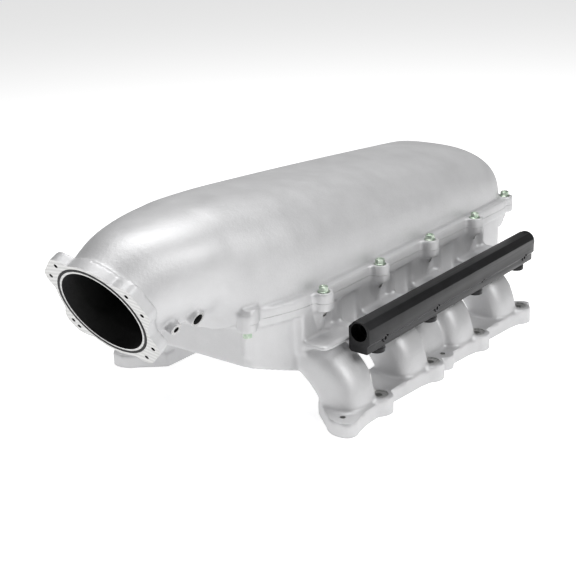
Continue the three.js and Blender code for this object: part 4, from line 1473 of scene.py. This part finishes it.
@dataclass
class RailFittings:
    """Injector cups, cap screws and end plugs of the rails. Lengths in metres."""

    finishes: Finishes
    cup_radius: float = 0.010
    cup_height: float = 0.009
    cup_bore: float = 0.0136
    neck: float = 0.003
    shank: float = 0.005
    head: float = 0.0085
    head_height: float = 0.005
    socket: float = 0.005
    sink: float = 0.007
    gap: float = 0.0003

    def cup(self) -> Solid:
        """Turn one injector cup, its seat on Z 0."""
        outer, bore, foot = self.cup_radius, self.cup_bore / 2, -self.cup_height
        body = turned_body("cup", [
            (0.0, self.neck - 0.002), (bore, self.neck - 0.002), (bore, foot + 0.001),
            (bore + 0.001, foot), (outer - 0.001, foot), (outer - 0.0002, foot + 0.0006),
            (outer, foot + 0.0015), (outer, -0.0035), (outer - 0.0006, -0.0031),
            (outer - 0.0006, -0.0022), (outer, -0.0018), (outer, -0.0007), (outer - 0.0004, -0.0003),
            (outer - 0.002, -0.0003), (outer - 0.002, self.neck - 0.0003),
            (outer - 0.0023, self.neck), (0.0, self.neck),
        ], 64)
        return painted(body, self.finishes.turned)

    def screw(self, length: float) -> Solid:
        """Turn one socket screw, its seat on Z 0 and its head above."""
        head, high = self.head / 2, self.head_height
        body = turned_body("screw", [
            (0.0, -length), (self.shank / 2 - 0.0006, -length), (self.shank / 2, -length + 0.0007),
            (self.shank / 2, 0.0), (head - 0.0002, 0.0), (head, 0.0003), (head, high - 0.0005),
            (head - 0.0005, high), (0.0, high),
        ], 48)
        painted(body, self.finishes.oxide)
        key = rod("key", self.socket / 2, Vector((0, 0, high * 0.45)), Vector((0, 0, high + 0.002)), 6)
        carve(body, key, self.finishes.oxide)
        return body

    def plug(self, depth: float) -> Solid:
        """Turn one end plug, its collar's seat on Z 0."""
        body = turned_body("plug", [
            (0.0, 0.001 - depth), (0.0102, 0.001 - depth), (0.0107, 0.0015 - depth), (0.0107, 0.0003),
            (0.0126, 0.0003), (0.013, 0.0007), (0.013, 0.0025), (0.0125, 0.003), (0.0, 0.003),
        ], 64)
        painted(body, self.finishes.turned)
        key = rod("key", 0.005, Vector((0, 0, -0.005)), Vector((0, 0, 0.006)), 6)
        carve(body, key, self.finishes.turned)
        return body

    def build(self, bank: Bank) -> list[Solid]:
        """Place the fittings of one bank.

        Args:
            bank: The bank.

        Returns:
            The pieces.
        """
        side, name = bank.value, bank.name.lower()
        pieces = []
        cup = self.cup()
        for index in range(LAYOUT.cylinders):
            place = Vector((side * LAYOUT.rail_x, LAYOUT.injector_y(index), LAYOUT.rail_underside))
            copy = duplicate(cup, f"injector_cup_{name}_{index + 1}_turned", place)
            pieces.append(finish_piece(copy, [f"injector_cup_{name}_{index + 1}"], 35))
        bpy.data.objects.remove(cup, do_unlink=True)
        face = LAYOUT.rail_x + LAYOUT.rail_half_width
        seat = face - self.sink + self.gap
        inner = LAYOUT.rail_x - LAYOUT.rail_half_width
        screw = lay_along(self.screw(seat - inner + 0.013), Vector((side, 0, 0)), Vector((0, 0, 0)))
        for number, index in enumerate(LAYOUT.stands, start=1):
            place = Vector((side * seat, LAYOUT.injector_y(index), LAYOUT.rail_screw_z))
            copy = duplicate(screw, f"rail_screw_{name}_{number}_socket", place)
            pieces.append(finish_piece(copy, [f"rail_screw_{name}_{number}"], 35))
        bpy.data.objects.remove(screw, do_unlink=True)
        rear = LAYOUT.injector_y(LAYOUT.cylinders - 1) + LAYOUT.rail_rear_end
        plug = lay_along(self.plug(0.016), Vector((0, 1, 0)),
                         Vector((side * LAYOUT.rail_x, rear, LAYOUT.rail_z)))
        plug.name = f"rail_end_plug_{name}_turned"
        pieces.append(finish_piece(plug, [f"rail_end_plug_{name}"], 35))
        return pieces


# ------------------------------------------------------------------ joint bolts
@dataclass
class JointBolts:
    """Hexagon flange bolts that hold the castings together. Lengths in metres."""

    finishes: Finishes
    across: float = 0.010
    washer: float = 0.014
    washer_height: float = 0.0018
    height: float = 0.007
    shank: float = 0.006
    length: float = 0.017

    def bolt(self) -> Solid:
        """Make one bolt, its seat on Z 0 and its head above.

        Returns:
            The bolt.
        """
        low, high = self.washer_height, self.height
        reach = self.across / math.sqrt(3)
        hexagon = rod("hexagon", reach, Vector((0, 0, low - 0.0006)), Vector((0, 0, high)), 6)
        crown = turned_body("crown", [
            (0.0, -0.001), (reach + 0.001, -0.001), (reach + 0.001, high - 0.0014),
            (self.across / 2 - 0.0003, high), (0.0, high),
        ], 48)
        activate(hexagon)
        limit = hexagon.modifiers.new("crown", "BOOLEAN")
        limit.operation = "INTERSECT"
        limit.object = crown
        limit.solver = "MANIFOLD"
        bpy.ops.object.modifier_apply(modifier=limit.name)
        bpy.data.objects.remove(crown, do_unlink=True)
        dish = turned_body("dish", [(0.0, high - 0.0011), (0.0026, high - 0.0009), (0.0034, high + 0.0002),
                                    (0.0034, high + 0.001), (0.0, high + 0.001)], 48)
        meet(hexagon, dish, Boolean.CUT)
        rim = self.washer / 2
        body = turned_body("body", [
            (0.0, -self.length), (self.shank / 2 - 0.0006, -self.length),
            (self.shank / 2, 0.0007 - self.length), (self.shank / 2, 0.0), (rim - 0.0003, 0.0),
            (rim, 0.0003), (rim, 0.0009), (rim - 0.0004, 0.0012), (reach, low), (0.0, low),
        ], 48)
        meet(body, hexagon, Boolean.JOIN)
        return painted(body, self.finishes.zinc)

    def build(self) -> list[Solid]:
        """Place every bolt.

        Returns:
            The pieces.
        """
        first = self.bolt()
        gap = 0.0003
        pieces = []
        for number, (x, y, from_below) in enumerate(LAYOUT.joint_bolts(), start=1):
            height = LAYOUT.joint_base if from_below else LAYOUT.joint_top
            seat = LAYOUT.parting_z + (-height - gap if from_below else height + gap)
            copy = duplicate(first, f"plenum_bolt_{number}_hex", Vector((0, 0, 0)))
            turn = Matrix.Rotation(math.radians(37.0 * number), 4, "Z")
            if from_below:
                turn = Matrix.Rotation(math.pi, 4, "X") @ turn
            copy.data.transform(Matrix.Translation(Vector((x, y, seat))) @ turn)
            pieces.append(finish_piece(copy, [f"plenum_bolt_{number}"], 30))
        bpy.data.objects.remove(first, do_unlink=True)
        return pieces


# ------------------------------------------------------------------ seals
@dataclass
class Seals:
    """The rubber seals: the CAD cords themselves, dressed as moulded rubber."""

    finishes: Finishes

    def build(self) -> list[str]:
        """Dress every seal.

        Returns:
            The names of the nodes dressed.
        """
        names = [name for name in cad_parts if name.endswith("_seal") or "port_seal" in name]
        for name in names:
            painted(bpy.data.objects[name], self.finishes.rubber)
        LOG.info("seals dressed: %s", ", ".join(names))
        return names


# ------------------------------------------------------------------ stage
@dataclass
class Studio:
    """A pale sweep, soft light and the camera."""

    azimuth: float = 0.68268894
    elevation: float = 0.34860954
    roll: float = -0.0410564997
    position: tuple[float, float, float] = (0.8472327, -0.9850386, 0.5813331)
    lens: float = 71.658
    sky: float = 0.16
    sweep_glow: float = 0.60
    # name, place, diameter and power in watts of each lamp
    softboxes: tuple[tuple[str, tuple[float, float, float], float, float], ...] = (
        ("key", (1.5, 0.1, 1.3), 0.9, 14.0),
        ("top", (-0.3, 0.3, 2.2), 1.6, 32.0),
        ("front", (-0.2, -1.8, 1.0), 0.8, 1.5),
    )

    def floor(self) -> None:
        """Lay the floor and give it a pale matt finish."""
        bpy.ops.object.select_all(action="DESELECT")
        bpy.ops.mesh.primitive_plane_add(size=40.0, location=(0.0, 0.0, -0.0004))
        plane = bpy.context.view_layer.objects.active
        plane.name = "studio_floor"
        material = bpy.data.materials.new("matt_white_sweep")
        material.use_nodes = True
        tree = material.node_tree
        shader = tree.nodes["Principled BSDF"]
        shader.inputs["Base Color"].default_value = srgb("F8F8F8")
        shader.inputs["Roughness"].default_value = 0.9
        shader.inputs["Specular IOR Level"].default_value = 0.1
        shader.inputs["Emission Color"].default_value = (1.0, 1.0, 1.0, 1.0)
        shader.inputs["Emission Strength"].default_value = self.sweep_glow
        plane.data.materials.append(material)

    def lights(self) -> None:
        """Place the soft lights and light the room."""
        # plain colour response, so that the white sweep stays white
        bpy.context.scene.view_settings.view_transform = "Standard"
        world = bpy.data.worlds.new("studio_light")
        bpy.context.scene.world = world
        world.use_nodes = True
        sky = world.node_tree.nodes["Background"]
        sky.inputs["Color"].default_value = (1.0, 1.0, 1.0, 1.0)
        sky.inputs["Strength"].default_value = self.sky
        for name, place, size, power in self.softboxes:
            lamp = bpy.data.lights.new(f"{name}_softbox", "AREA")
            lamp.shape = "DISK"
            lamp.size = size
            lamp.energy = power
            holder = bpy.data.objects.new(lamp.name, lamp)
            bpy.context.scene.collection.objects.link(holder)
            spot = Vector(place)
            aim = (Vector((0.0, 0.0, 0.1)) - spot).to_track_quat("-Z", "Y").to_matrix().to_4x4()
            holder.matrix_world = Matrix.Translation(spot) @ aim

    def camera(self) -> None:
        """Place the camera."""
        a, e, roll = self.azimuth, self.elevation, self.roll
        back = Vector((math.sin(a) * math.cos(e), -math.cos(a) * math.cos(e), math.sin(e)))
        right = Vector((math.cos(a), math.sin(a), 0.0))
        up = back.cross(right)
        turned_right = right * math.cos(roll) + up * math.sin(roll)
        turned_up = up * math.cos(roll) - right * math.sin(roll)
        data = bpy.data.cameras.new("product_camera")
        data.lens = self.lens
        data.sensor_width = 36.0
        data.clip_end = 100.0
        camera = bpy.data.objects.new("product_camera", data)
        bpy.context.scene.collection.objects.link(camera)
        turn = Matrix((turned_right, turned_up, back)).transposed().to_4x4()
        camera.matrix_world = Matrix.Translation(Vector(self.position) + DATUM) @ turn
        bpy.context.scene.camera = camera


def main() -> None:
    """Build every piece, then the stage."""
    logging.basicConfig(level=logging.INFO, format="%(message)s")
    finishes = Finishes()
    PlenumTop(finishes).build()
    ManifoldBase(finishes).build()
    for bank in Bank:
        FuelRail(finishes).build(bank)
        RailFittings(finishes).build(bank)
    JointBolts(finishes).build()
    Seals(finishes).build()
    studio = Studio()
    studio.floor()
    studio.lights()
    studio.camera()
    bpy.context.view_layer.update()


if __name__ == "__main__":
    main()
